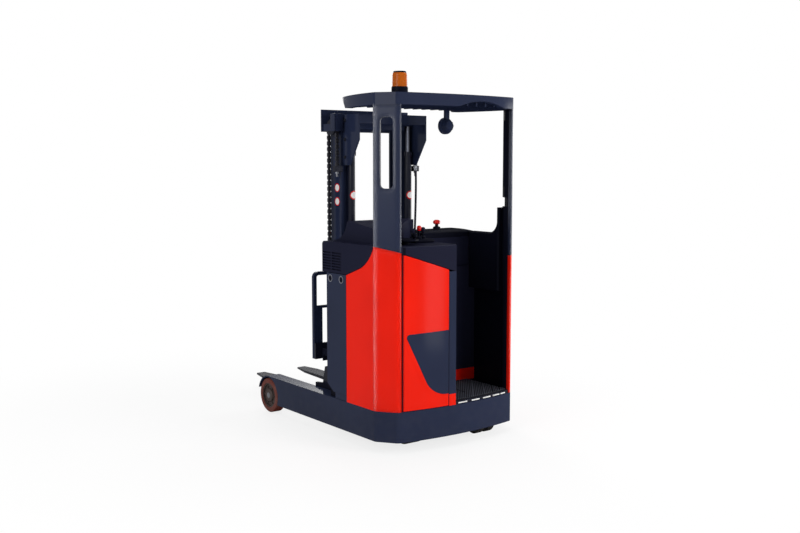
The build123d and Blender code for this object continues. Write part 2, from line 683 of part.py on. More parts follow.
# Console on the hood in front of the bay
CONSOLE_LEFT = CABINET_RIGHT + 125
CONSOLE_RIGHT = WALL_IN
CONSOLE_HIGH = BODY_TOP + 62
CONSOLE_SHOULDER = BODY_TOP + 36
with BuildPart() as console:
    with BuildSketch(Plane.YZ.offset(CONSOLE_LEFT)):
        with BuildLine():
            rear = [(PANEL_FRONT, BODY_TOP), (PANEL_FRONT, BODY_TOP + 34)]
            crest = (PANEL_FRONT + 60, CONSOLE_HIGH)
            front = [(PANEL_FRONT + 180, CONSOLE_HIGH - 10), (PANEL_FRONT + 225, BODY_TOP)]
            Polyline(front[1], *rear)
            ThreePointArc(rear[1], (PANEL_FRONT + 18, BODY_TOP + 54), crest)
            Polyline(crest, *front)
        make_face()
    extrude(amount=CONSOLE_RIGHT - CONSOLE_LEFT)
    with BuildSketch(Plane.XZ.offset(-BATTERY_FRONT)):
        with BuildLine():
            left = (CONSOLE_LEFT, CONSOLE_SHOULDER)
            right = (CONSOLE_RIGHT, CONSOLE_SHOULDER)
            ThreePointArc(left, ((CONSOLE_LEFT + CONSOLE_RIGHT) / 2, CONSOLE_HIGH + 2), right)
            Polyline(right, (CONSOLE_RIGHT, BODY_TOP), (CONSOLE_LEFT, BODY_TOP), left)
        make_face()
    extrude(amount=BATTERY_FRONT - SEAM, mode=Mode.INTERSECT)
write(console, "console")

# Roof guard: a deep rim with a raised arch over the step and a raked front, and bars across it
with BuildPart() as roof_guard:
    with BuildSketch(Plane.XY.offset(GUARD_BOTTOM)):
        add(roof_plan())
        add(roof_plan(ROOF_RIM), mode=Mode.SUBTRACT)
    extrude(amount=ROOF_DEPTH)
    with BuildSketch(Plane.XZ.offset(-SEAM)):
        with BuildLine():
            right = FLOOR_RIGHT - 80
            Line((ARCH_LEFT, GUARD_BOTTOM), (right, GUARD_BOTTOM))
            ThreePointArc(
                (right, GUARD_BOTTOM), ((ARCH_LEFT + right) / 2, GUARD_BOTTOM + ARCH_RISE), (ARCH_LEFT, GUARD_BOTTOM)
            )
        make_face()
    extrude(amount=WIDTH, mode=Mode.SUBTRACT)
    side_plate(
        (-WIDTH, WIDTH),
        [
            (ROOF_FRONT, GUARD_TOP),
            (ROOF_FRONT - ROOF_UNDERCUT, GUARD_BOTTOM),
            (ROOF_FRONT + ROOF_DEPTH, GUARD_BOTTOM),
            (ROOF_FRONT + ROOF_DEPTH, GUARD_TOP),
        ],
        Mode.SUBTRACT,
    )
    pitch = 2 * (HALF - POST_WIDTH) / (ROOF_BARS + 1)
    bar_top = GUARD_TOP - GAP
    bar_front = ROOF_FRONT - ROOF_RIM
    for bar in range(ROOF_BARS):
        x = (bar + 1) * pitch - HALF + POST_WIDTH
        bar_low = bar_top - BAR_DEPTH
        outline = [(SEAM - CORNER_BACK, bar_low), (SEAM - CORNER_BACK, bar_top)]
        outline += [(bar_front + 10, bar_top), (bar_front - 50, bar_low)]
        side_plate(about(x, BAR_WALL / 2), outline)
write(roof_guard, "roof_guard")

# Beacon and work lamp
with BuildPart() as beacon_base:
    with Locations((BEACON_X, BEACON_Y, GUARD_TOP + BEACON_BASE / 2)):
        Cone(BEACON_RADIUS + 8, BEACON_RADIUS, BEACON_BASE)
write(beacon_base, "beacon_base")

with BuildPart() as beacon_lens:
    low = GUARD_TOP + BEACON_BASE
    rod_z(BEACON_X, BEACON_Y, (low, low + BEACON_LENS), BEACON_RADIUS - 3)
    chamfer(beacon_lens.edges().group_by(Axis.Z)[-1], 12)
write(beacon_lens, "beacon_lens")

with BuildPart() as work_lamp:
    lamp_x = (ROOF_BARS // 2 + 4) * pitch - HALF + POST_WIDTH
    lamp_z = GUARD_BOTTOM - 105
    block(about(lamp_x, 22), about(LAMP_Y, 16), (bar_low - 10, bar_low))
    block(about(lamp_x, 6), about(LAMP_Y, 12), (lamp_z + LAMP_RADIUS - 12, bar_low - 10))
    rod_y(lamp_x, about(LAMP_Y, 34), lamp_z, LAMP_RADIUS)
    chamfer(work_lamp.edges().filter_by(GeomType.CIRCLE).group_by(Axis.Y)[-1], 16)
write(work_lamp, "work_lamp")

# Reach carriage: beam behind the uprights, cheeks, roller arms in the legs and the reach rod
with BuildPart() as reach_carriage:
    block(about(0, CHEEK_OUT), (BEAM_REAR, MAST_REAR), (BEAM_BOTTOM, BEAM_TOP))
    for side in SIDES:
        cheek = [(BEAM_REAR, BEAM_BOTTOM), (BEAM_REAR, BEAM_TOP + 100), (BEAM_REAR + 60, BEAM_TOP + 120)]
        cheek += [(MAST_REAR, BEAM_TOP + 120), (MAST_REAR + 28, BEAM_TOP), (MAST_FRONT - RUN, BEAM_TOP - 10)]
        cheek += [(MAST_FRONT - RUN, BEAM_TOP - 60), (MAST_REAR + 60, BEAM_BOTTOM)]
        side_plate(span(side, CHEEK_OUT - CHEEK_WALL, CHEEK_OUT), cheek)
        block(span(side, CHEEK_OUT - 1, ARM_IN + ARM_WALL), (BEAM_REAR + 10, ROLLER_FRONT_Y + 60), (ARM_LOW, ARM_HIGH))
        block(span(side, ARM_IN, ARM_IN + ARM_WALL), (ROLLER_REAR_Y - 40, BEAM_REAR + 20), (ARM_LOW, ARM_HIGH))
    rod_y(0, (BATTERY_FRONT - REACH_STROKE - 40, BEAM_REAR + 1), REACH_Z, ROD_RADIUS)
write(reach_carriage, "reach_carriage")

with BuildPart() as reach_rollers:
    for side in SIDES:
        for y in (ROLLER_REAR_Y, ROLLER_FRONT_Y):
            x = span(side, ARM_IN + ARM_WALL, HALF - LEG_WEB - RUN)
            rod_x(x, y, (RAIL_LOW + RAIL_HIGH) / 2, REACH_ROLLER)
write(reach_rollers, "reach_rollers")

# Uprights of both stages; columns: stage, outer face of the web, edge of the flanges, foot
for stage, web, lip, foot in (
    ("outer", OUTER_WEB_X, OUTER_LIP_X, MAST_BOTTOM),
    ("inner", INNER_WEB_X, INNER_LIP_X, MAST_BOTTOM + 20),
):
    with BuildPart() as uprights:
        for side in SIDES:
            with BuildSketch(Plane.XY.offset(foot)):
                with Locations((side * (web + lip) / 2, MAST_MID)):
                    Rectangle(web - lip, MAST_DEPTH)
                with Locations((side * ((web + lip) / 2 - MAST_WEB), MAST_MID)):
                    Rectangle(web - lip, MAST_DEPTH - 2 * MAST_FLANGE, mode=Mode.SUBTRACT)
            extrude(amount=MAST_TOP - foot)
    write(uprights, f"{stage}_uprights")

# Head yoke of the outer mast: gusset plates and the beam across their rear edges
with BuildPart() as mast_yoke:
    for side in SIDES:
        low = MAST_TOP - YOKE_DROP
        gusset = [(MAST_REAR, low), (MAST_REAR, MAST_TOP), (YOKE_REAR, MAST_TOP)]
        gusset += [(YOKE_REAR, MAST_TOP - YOKE_DROP / 2), (YOKE_REAR + 110, low)]
        side_plate(span(side, OUTER_WEB_X - 26, OUTER_WEB_X - 26 + YOKE_WALL), gusset)
    block(about(0, OUTER_WEB_X - 20), (YOKE_REAR, YOKE_REAR + 40), (MAST_TOP - YOKE_BEAM, MAST_TOP))
write(mast_yoke, "mast_yoke")

with BuildPart() as lift_cylinders:
    for side in SIDES:
        x = side * CYLINDER_X
        rod_z(x, CYLINDER_Y, (BEAM_TOP, CYLINDER_TOP), CYLINDER_RADIUS)
        rod_z(x, CYLINDER_Y, (CYLINDER_TOP - 30, CYLINDER_TOP), CYLINDER_RADIUS + COLLAR)
        strap = span(side, OUTER_LIP_X, OUTER_LIP_X + 18)
        block(strap, (CYLINDER_Y, MAST_REAR), (CYLINDER_TOP - 30, CYLINDER_TOP))
        rod_z(x, CYLINDER_Y, (BEAM_TOP + 5, CYLINDER_TOP + 1), ROD_RADIUS + 0.5, Mode.SUBTRACT)
write(lift_cylinders, "lift_cylinders")

with BuildPart() as lift_rods:
    for side in SIDES:
        rod_z(side * CYLINDER_X, CYLINDER_Y, (BEAM_TOP + 10, ROD_TOP), ROD_RADIUS)
write(lift_rods, "lift_rods")

# Inner mast: ties behind it, caps on the rods, rollers in the outer channels
with BuildPart() as inner_ties:
    tie = (MAST_REAR - TIE_WALL, MAST_REAR)
    block(about(0, CYLINDER_X - ROD_RADIUS - 5), tie, (ROD_TOP - 30, ROD_TOP + 50))
    block(about(0, CYLINDER_X - CYLINDER_RADIUS - RUN), tie, (BEAM_TOP + 10, BEAM_TOP + 100))
    for side in SIDES:
        cap = span(side, CYLINDER_X - ROD_RADIUS - 10, CYLINDER_X + ROD_RADIUS + 5)
        block(cap, (CYLINDER_Y - 23, MAST_REAR - 12), (ROD_TOP, ROD_TOP + 30))
write(inner_ties, "inner_ties")

with BuildPart() as mast_rollers:
    for side in SIDES:
        for z in (MAST_BOTTOM + 80, MAST_BOTTOM + 410):
            rod_x(span(side, INNER_WEB_X, OUTER_WEB_X - MAST_WEB - RUN), MAST_MID, z, ROLLER_RADIUS)
write(mast_rollers, "mast_rollers")

# Head plate of the inner mast: cheeks and axles that carry the sheaves
with BuildPart() as head_plate:
    block(about(0, HEAD_HALF), (HEAD_REAR, HEAD_REAR + HEAD_WALL), (MAST_TOP - 115, MAST_TOP + 37))
    for side in SIDES:
        block(span(side, INNER_LIP_X, INNER_WEB_X), (MAST_FRONT, HEAD_REAR), (MAST_TOP - 110, MAST_TOP))
        for x in about(CHAIN_X, CHEEK_GAP + 3):
            block(span(side, x - 3, x + 3), (SHEAVE_Y - 22, HEAD_REAR), about(SHEAVE_Z, 25))
        rod_x(span(side, CHAIN_X - CHEEK_GAP - 3, CHAIN_X + CHEEK_GAP + 3), SHEAVE_Y, SHEAVE_Z, CASTER_PIN)
write(head_plate, "head_plate")

with BuildPart() as sheaves:
    half = CHAIN_WIDTH / 2 + 1
    for side in SIDES:
        rod_x(about(side * CHAIN_X, half + 1), SHEAVE_Y, SHEAVE_Z, SHEAVE_RADIUS - SEAT)
        for x in about(side * CHAIN_X, half + SHEAVE_FLANGE / 2):
            rod_x(about(x, SHEAVE_FLANGE / 2), SHEAVE_Y, SHEAVE_Z, SHEAVE_RIM)
        rod_x(about(side * CHAIN_X, half + 10), SHEAVE_Y, SHEAVE_Z, CASTER_PIN + SEAT, Mode.SUBTRACT)
write(sheaves, "sheaves")


def chain_run(x, y, low, high):
    """Adds a straight run of links: full depth at each link's middle, a neck where two links meet."""
    links = max(1, round((high - low) / CHAIN_PITCH))
    pitch = (high - low) / links
    steps = ((0, CHAIN_NECK), (0.25, 0), (0.75, 0))
    rear = [(y[0] + neck, low + (i + t) * pitch) for i in range(links) for t, neck in steps]
    front = [(y[1] - neck, low + (i + t) * pitch) for i in range(links) for t, neck in steps]
    ends = [(y[0] + CHAIN_NECK, high), (y[1] - CHAIN_NECK, high)]
    side_plate(x, rear + ends + front[::-1])


with BuildPart() as lift_chains:
    for side in SIDES:
        x = about(side * CHAIN_X, CHAIN_WIDTH / 2)
        front = SHEAVE_Y + SHEAVE_RADIUS
        chain_run(x, (front, front + CHAIN_THICK), PLATE_HIGH - 20, SHEAVE_Z)
        with BuildSketch(Plane.YZ.offset(x[0])):
            with Locations((SHEAVE_Y, SHEAVE_Z)):
                Circle(SHEAVE_RADIUS + CHAIN_THICK)
                Circle(SHEAVE_RADIUS, mode=Mode.SUBTRACT)
            with Locations((SHEAVE_Y, SHEAVE_Z - SHEAVE_RIM)):
                Rectangle(4 * SHEAVE_RIM, 2 * SHEAVE_RIM, mode=Mode.SUBTRACT)
        extrude(amount=CHAIN_WIDTH)
write(lift_chains, "lift_chains")

with BuildPart() as fixed_chains:
    for side in SIDES:
        x = about(side * CHAIN_X, CHAIN_WIDTH / 2)
        rear = SHEAVE_Y - SHEAVE_RADIUS
        chain_run(x, (rear - CHAIN_THICK, rear), ANCHOR_Z - 1, SHEAVE_Z - SEAT)
        anchor = span(side, OUTER_WEB_X, CHAIN_X + 18)
        block(anchor, (rear - 32, rear + 14), (ANCHOR_Z - 40, ANCHOR_Z))
        rod_z(side * CHAIN_X, rear - CHAIN_THICK / 2, (ANCHOR_Z - 75, ANCHOR_Z - 39), 9)
write(fixed_chains, "fixed_chains")

# Lift carriage: front plate, roller plates, chain brackets, tilt ears and tilt cylinders
ROLLER_PLATE = INNER_LIP_X - RUN
with BuildPart() as lift_carriage:
    block(about(0, CHAIN_X + 36), (PLATE_REAR, PLATE_REAR + PLATE_WALL), (PLATE_LOW, PLATE_HIGH))
    block(about(0, ROLLER_PLATE - 2), about(MAST_MID + 14, 20), (CARRIAGE_LOW, CARRIAGE_LOW + 100))
    for side in SIDES:
        plate = span(side, ROLLER_PLATE - 12, ROLLER_PLATE)
        block(plate, (MAST_MID - 16, MAST_FRONT), (CARRIAGE_LOW, PLATE_HIGH))
        block(plate, (MAST_FRONT - 1, PLATE_REAR + 1), (PLATE_LOW, PLATE_HIGH))
        for x in about(CHAIN_X, CHAIN_WIDTH / 2 + 14):
            block(span(side, x - 8, x + 8), (MAST_MID + 16, PLATE_REAR + 1), (PLATE_HIGH - 50, PLATE_HIGH))
        for x in (EAR_IN, EAR_OUT):
            ear = span(side, x - EAR_WALL / 2, x + EAR_WALL / 2)
            block(ear, (PLATE_REAR, PLATE_REAR + PLATE_WALL), (PLATE_HIGH - 1, TILT_Z))
            rod_x(ear, TILT_Y, TILT_Z, EAR_RADIUS)
        rod_x(span(side, EAR_IN, EAR_OUT), TILT_Y, TILT_Z, TILT_PIN)
        rod_y(side * PUSH_X, (MAST_MID - 6, MAST_FRONT + 2), PUSH_Z, 32)
        rod_y(side * PUSH_X, (MAST_MID + 6, MAST_FRONT + 3), PUSH_Z, 22, Mode.SUBTRACT)
write(lift_carriage, "lift_carriage")

with BuildPart() as carriage_rollers:
    for side in SIDES:
        for z in (CARRIAGE_LOW + 50, PLATE_HIGH - 70):
            rod_x(span(side, ROLLER_PLATE, INNER_WEB_X - MAST_WEB - RUN), MAST_MID, z, ROLLER_RADIUS)
write(carriage_rollers, "carriage_rollers")

# Fork frame: two bars joined by webs, ears on the tilt pins and the rods of the tilt cylinders
with BuildPart() as fork_frame:
    bar = (BAR_REAR, SHANK_REAR)
    block(about(0, REST_HALF), bar, (BAR_LOW, BAR_HIGH))
    block(about(0, FORK_X + FORK_WIDTH / 2 + 24), bar, (PUSH_Z - 40, PUSH_Z + 40))
    for x in (-FORK_X + FORK_WIDTH / 2 + 30, 0, FORK_X - FORK_WIDTH / 2 - 30):
        block(about(x, 24), bar, (PUSH_Z + 39, BAR_LOW + 1))
    for side in SIDES:
        ear = span(side, EAR_IN + EAR_WALL / 2 + 1, EAR_OUT - EAR_WALL / 2 - 1)
        block(ear, bar, (BAR_HIGH - 1, TILT_Z))
        block(ear, (TILT_Y, SHANK_REAR), about(TILT_Z, EAR_RADIUS))
        rod_x(ear, TILT_Y, TILT_Z, EAR_RADIUS)
        rod_x(ear, TILT_Y, TILT_Z, TILT_PIN + FIT, Mode.SUBTRACT)
        rod_y(side * PUSH_X, (MAST_MID + 36, BAR_REAR + 1), PUSH_Z, 13)
write(fork_frame, "fork_frame")


def rest_outline(inset, radius):
    """Returns the backrest's outline, with rounded upper corners, drawn in by an inset."""
    with BuildSketch() as outline:
        low = BAR_LOW + inset
        with Locations((0, (low + REST_TOP - inset) / 2)):
            Rectangle(2 * (REST_HALF - inset), REST_TOP - inset - low)
        fillet(outline.vertices().group_by(Axis.Y)[-1], radius)
    return outline.sketch


REST_BARS_X = (80, 300)
with BuildPart() as backrest:
    with BuildSketch(Plane.XZ.offset(-SHANK_REAR)):
        add(rest_outline(0, 40))
        add(rest_outline(REST_BAR, 40 - REST_BAR), mode=Mode.SUBTRACT)
        with Locations((0, BAR_LOW)):
            Rectangle(4 * FORK_X - FORK_WIDTH, 2 * (BAR_HIGH - BAR_LOW), mode=Mode.SUBTRACT)
    extrude(amount=-REST_BAR)
    block(about(0, REST_HALF - 1), (SHANK_REAR, SHANK_REAR + 12), about(REST_RAIL, 10))
    for side in SIDES:
        x = (REST_HALF - REST_BAR - 46) * side
        foot = span(side, REST_HALF - REST_BAR - 46, REST_HALF - 1)
        block(foot, (SHANK_REAR, SHANK_REAR + 12), (BAR_LOW, REST_RAIL))
        for bar in REST_BARS_X:
            block(about(side * bar, 10), (SHANK_REAR, SHANK_REAR + 12), (BAR_LOW + 20, REST_TOP - 1))
write(backrest, "backrest")

# Forks: shank with a hook over the upper bar, a round heel and a blade that thins and narrows to its tip
TIP_LENGTH = 160
TIP_WIDTH = 70
HEEL_RADIUS = 50
with BuildPart() as forks:
    for side in SIDES:
        x = side * FORK_X
        tip = SHANK_FRONT + FORK_LENGTH
        with BuildSketch(Plane.YZ.offset(x - FORK_WIDTH / 2)) as profile:
            with BuildLine():
                Polyline(
                    (SHANK_REAR, FORK_TOP - FORK_THICK),
                    (SHANK_REAR, SHANK_TOP),
                    (SHANK_FRONT, SHANK_TOP),
                    (SHANK_FRONT, FORK_TOP),
                    (tip, FORK_TOP),
                    (tip, FORK_TOP - FORK_TIP),
                    (SHANK_FRONT + FORK_LENGTH / 4, FORK_TOP - FORK_THICK),
                    close=True,
                )
            make_face()
            fillet(profile.vertices().sort_by_distance((x, SHANK_REAR, FORK_TOP - FORK_THICK))[0], HEEL_RADIUS)
        extrude(amount=FORK_WIDTH)
        for edge in SIDES:
            with BuildSketch(Plane.XY.offset(FORK_TOP - FORK_THICK)):
                with BuildLine():
                    Polyline(
                        (x + edge * TIP_WIDTH / 2, tip + 1),
                        (x + edge * FORK_WIDTH / 2, tip - TIP_LENGTH),
                        (x + edge * FORK_WIDTH, tip - TIP_LENGTH),
                        (x + edge * FORK_WIDTH, tip + 1),
                        close=True,
                    )
                make_face()
            extrude(amount=FORK_THICK, mode=Mode.SUBTRACT)
write(forks, "forks")

# Drive unit: a yoke that turns in the drive deck, with the motor above and the wheel below
with BuildPart() as drive_yoke:
    arm = DRIVE_WIDTH / 2
    rod_z(DRIVE_X, DRIVE_Y, (DRIVE_DECK + DECK_WALL + SEAT, DRIVE_DECK + 40), DRIVE_BORE + 22)
    rod_z(DRIVE_X, DRIVE_Y, (DRIVE_DECK - 8, DRIVE_DECK + 30), DRIVE_BORE - FIT)
    block((DRIVE_X - arm, DRIVE_X + arm + 44), about(DRIVE_Y, 60), (2 * DRIVE_RADIUS + 10, DRIVE_DECK - RUN))
    gearcase = (DRIVE_X + arm + 8, DRIVE_X + arm + 44)
    block(gearcase, about(DRIVE_Y, 60), (DRIVE_RADIUS, 2 * DRIVE_RADIUS + 11))
    rod_x(gearcase, DRIVE_Y, DRIVE_RADIUS, 70)
    rod_x((DRIVE_X - arm + 12, gearcase[0] + 1), DRIVE_Y, DRIVE_RADIUS, AXLE_RADIUS)
write(drive_yoke, "drive_yoke")

with BuildPart() as drive_motor:
    rod_z(DRIVE_X, DRIVE_Y, (DRIVE_DECK + 40, DRIVE_DECK + 40 + MOTOR_LENGTH), MOTOR_RADIUS)
write(drive_motor, "drive_motor")

with BuildPart() as drive_wheel:
    rod_x(about(DRIVE_X, DRIVE_WIDTH / 2), DRIVE_Y, DRIVE_RADIUS, DRIVE_RADIUS)
    rod_x((DRIVE_X - DRIVE_WIDTH, DRIVE_X - DRIVE_WIDTH / 2 + 14), DRIVE_Y, DRIVE_RADIUS, 100, Mode.SUBTRACT)
    rod_x(about(DRIVE_X, DRIVE_WIDTH), DRIVE_Y, DRIVE_RADIUS, AXLE_RADIUS + FIT, Mode.SUBTRACT)
write(drive_wheel, "drive_wheel")

# Caster: a yoke that turns under the deck with a wheel on each side
with BuildPart() as caster_yoke:
    axle_y = CASTER_Y - CASTER_TRAIL
    stem = about(CASTER_X, CASTER_STEM)
    rod_z(CASTER_X, CASTER_Y, (DECK_LOW - 20, DECK_LOW - SEAT), 55)
    rod_z(CASTER_X, CASTER_Y, (DECK_LOW - 1, LEG_TOP - 2), AXLE_RADIUS)
    arm = [(CASTER_Y + 40, DECK_LOW - 10), (CASTER_Y - 50, DECK_LOW - 10), (axle_y - 28, CASTER_RADIUS)]
    side_plate(stem, arm + [(axle_y - 15, CASTER_RADIUS - 24), (axle_y + 15, CASTER_RADIUS - 24)])
    rod_x(about(CASTER_X, CASTER_STEM + CASTER_WIDTH + 2), axle_y, CASTER_RADIUS, CASTER_PIN)
write(caster_yoke, "caster_yoke")

with BuildPart() as caster_wheels:
    for side in SIDES:
        x = span(side, CASTER_STEM + RUN, CASTER_STEM + RUN + CASTER_WIDTH)
        rod_x((CASTER_X + x[0], CASTER_X + x[1]), axle_y, CASTER_RADIUS, CASTER_RADIUS)
    rod_x(about(CASTER_X, CASTER_STEM + CASTER_WIDTH + 3), axle_y, CASTER_RADIUS, CASTER_PIN + FIT, Mode.SUBTRACT)
write(caster_wheels, "caster_wheels")
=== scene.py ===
"""Looks of a stand-on reach truck: a finish for every solid, and the pieces too small for the solids."""
import json
import logging
import math
from dataclasses import dataclass
from enum import Enum
from typing import Any, Callable, Iterable, Sequence

import bmesh
import bpy
from mathutils import Matrix, Vector


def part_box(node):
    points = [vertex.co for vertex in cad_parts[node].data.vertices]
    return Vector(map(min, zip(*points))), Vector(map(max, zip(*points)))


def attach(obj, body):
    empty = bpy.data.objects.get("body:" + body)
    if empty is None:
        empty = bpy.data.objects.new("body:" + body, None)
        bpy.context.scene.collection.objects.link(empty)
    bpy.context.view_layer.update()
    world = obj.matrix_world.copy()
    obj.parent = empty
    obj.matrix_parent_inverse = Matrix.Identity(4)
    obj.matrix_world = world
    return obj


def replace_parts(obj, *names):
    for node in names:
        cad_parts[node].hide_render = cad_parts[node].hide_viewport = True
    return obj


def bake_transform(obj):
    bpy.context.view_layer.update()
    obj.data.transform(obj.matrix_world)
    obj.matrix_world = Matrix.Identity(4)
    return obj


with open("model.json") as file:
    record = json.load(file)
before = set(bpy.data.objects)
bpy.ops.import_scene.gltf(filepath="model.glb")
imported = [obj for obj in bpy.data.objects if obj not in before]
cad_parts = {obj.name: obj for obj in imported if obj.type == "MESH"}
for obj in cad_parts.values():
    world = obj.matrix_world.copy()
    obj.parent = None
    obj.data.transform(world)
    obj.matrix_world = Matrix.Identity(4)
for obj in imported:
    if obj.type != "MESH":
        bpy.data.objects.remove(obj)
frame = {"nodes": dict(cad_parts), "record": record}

log = logging.getLogger("reach_truck")

Point = tuple[float, float, float]
Colour = tuple[float, float, float]
Profile = list[tuple[float, float]]
Bend = Callable[[float, float, float], Vector]
Links = tuple[bpy.types.Mesh, bpy.types.Mesh]

# Metres, in the frame of the solids. Distances along the truck count forward from the side seam.
SEAM = -0.9585
HALF = 0.568
BODY_TOP = 1.308
REAR_RADIUS = 2.3098
REAR_BULGE = 0.188
REAR_CENTRE = SEAM - REAR_BULGE + REAR_RADIUS
ABOVE_ALL = 3.0

CHARCOAL: Colour = (0.016, 0.022, 0.050)
RED: Colour = (0.80, 0.011, 0.002)

# How finely patches, dust and scuffs are grained, how high dust lies, and how much it and patches roughen.
PATCH_SCALE, DUST_SCALE, SCUFF_SCALE = 2.5, 14.0, 60.0
DUST_TOP = 0.55
PATCH_ROUGH, DUST_ROUGH = 0.10, 0.15


def at(x: float, y: float, z: float) -> Vector:
    """Return the point at x, at y forward of the side seam, and at height z."""
    return Vector((x, SEAM + y, z))


def rear_arc(x: float) -> float:
    """Return the frame's Y of the arched rear face at x."""
    return REAR_CENTRE - math.sqrt(REAR_RADIUS**2 - x * x)


def top_of(node: str, x: float, y: float) -> float:
    """Return the height of a solid's top at a place.

    Args:
        node: The solid's name.
        x: The place across the truck.
        y: The place forward of the side seam.

    Returns:
        The height of the first face met from above.
    """
    hit, place, _, _ = frame["nodes"][node].ray_cast(at(x, y, ABOVE_ALL), (0.0, 0.0, -1.0))
    if not hit:
        raise ValueError(f"{node} is not under {x}, {y}")
    return place.z


def rear_skin(proud: float) -> Bend:
    """Return the bend that lays a flat face on the arched rear, its outside that far off it."""
    return lambda x, z, depth: Vector((x, rear_arc(x) - proud + depth, z))


def web_skin(x: float, y: float, proud: float) -> Bend:
    """Return the bend that lays a flat face on the left side of an upright, its middle at y."""
    return lambda s, z, depth: Vector((x - proud + depth, SEAM + y - s, z))


def barrel_skin(axis: tuple[float, float], radius: float, facing: float, proud: float) -> Bend:
    """Return the bend that wraps a flat face round an upright cylinder.

    Args:
        axis: The cylinder's x, and its y forward of the side seam.
        radius: The cylinder's radius.
        facing: Where the middle of the face looks, in degrees from the rear towards +X.
        proud: How far its outside stands off the cylinder.

    Returns:
        The bend.
    """
    middle = at(*axis, 0.0)

    def bend(s: float, z: float, depth: float) -> Vector:
        """Return the place round the cylinder of the point at s and z.

        Args:
            s: The way round the cylinder from the middle of the face.
            z: The height.
            depth: How far the point is below the outside.

        Returns:
            The place.
        """
        angle = math.radians(facing) + s / radius
        out = Vector((math.sin(angle), -math.cos(angle), 0.0))
        return middle + out * (radius + proud - depth) + Vector((0.0, 0.0, z))

    return bend


class Body(Enum):
    """The moving bodies that pieces ride on."""

    CHASSIS = "chassis"
    DOOR = "door"
    REACH = "reach"
    INNER_MAST = "inner_mast"
    LOAD_LEFT = "load_wheel_left"
    LOAD_RIGHT = "load_wheel_right"


class Axis(Enum):
    """Directions along which a turned piece stands."""

    X = (1.0, 0.0, 0.0)
    MINUS_X = (-1.0, 0.0, 0.0)
    Y = (0.0, 1.0, 0.0)
    Z = (0.0, 0.0, 1.0)

    def turn(self) -> Matrix:
        """Return the matrix that turns +Z to this direction."""
        return Vector((0, 0, 1)).rotation_difference(Vector(self.value)).to_matrix().to_4x4()


class Value:
    """A socket that carries one number, on which Python's operators add Math nodes."""

    def __init__(self, nodes: "Nodes", socket: bpy.types.NodeSocket) -> None:
        """Keep the socket and the tree that new nodes go to."""
        self.nodes = nodes
        self.socket = socket

    def __add__(self, other: Any) -> "Value":
        """Return self + other."""
        return self.nodes.math("ADD", self, other)

    def __sub__(self, other: Any) -> "Value":
        """Return self - other."""
        return self.nodes.math("SUBTRACT", self, other)

    def __rsub__(self, other: Any) -> "Value":
        """Return other - self."""
        return self.nodes.math("SUBTRACT", other, self)

    def __mul__(self, other: Any) -> "Value":
        """Return self * other."""
        return self.nodes.math("MULTIPLY", self, other)

    __radd__ = __add__
    __rmul__ = __mul__

    def ramp(self, low: float, high: float) -> "Value":
        """Return a smooth step that is 0 at low and 1 at high.

        Args:
            low: Where the step starts.
            high: Where it ends.

        Returns:
            The step.
        """
        node = self.nodes.node(
            "ShaderNodeMapRange",
            {"interpolation_type": "SMOOTHSTEP"},
            {"Value": self, "From Min": low, "From Max": high},
        )
        return Value(self.nodes, node.outputs["Result"])


class Nodes:
    """A node tree, with one method that adds any node to it."""

    def __init__(self, tree: bpy.types.NodeTree) -> None:
        """Keep the tree."""
        self.tree = tree

    def node(
        self, kind: str, settings: dict[str, Any] | None = None, inputs: dict[Any, Any] | None = None
    ) -> bpy.types.Node:
        """Add a node.

        Args:
            kind: The node's type.
            settings: Attributes of the node, set before its sockets.
            inputs: Numbers, colours, values or sockets by the name or number of an input.

        Returns:
            The new node.
        """
        made = self.tree.nodes.new(kind)
        for key, setting in (settings or {}).items():
            setattr(made, key, setting)
        for key, given in (inputs or {}).items():
            self.feed(made.inputs[key], given)
        return made

    def feed(self, socket: bpy.types.NodeSocket, given: Any) -> None:
        """Link a value or socket to an input, or set a plain number or colour on it.

        Args:
            socket: The input.
            given: The value, socket, number or colour.
        """
        if isinstance(given, Value):
            given = given.socket
        if isinstance(given, bpy.types.NodeSocket):
            self.tree.links.new(given, socket)
        else:
            socket.default_value = given

    def math(self, operation: str, *terms: Any) -> Value:
        """Return the result of a Math node on numbers or values."""
        node = self.node("ShaderNodeMath", {"operation": operation}, dict(enumerate(terms)))
        return Value(self, node.outputs[0])

    def seen(self) -> Value:
        """Return 1 to the camera and to what mirrors or shines through, and 0 to the light on the truck.

        Returns:
            The value.
        """
        path = self.node("ShaderNodeLightPath").outputs
        mirrored = self.math("MAXIMUM", path["Is Glossy Ray"], path["Is Transmission Ray"])
        return self.math("MAXIMUM", path["Is Camera Ray"], mirrored)


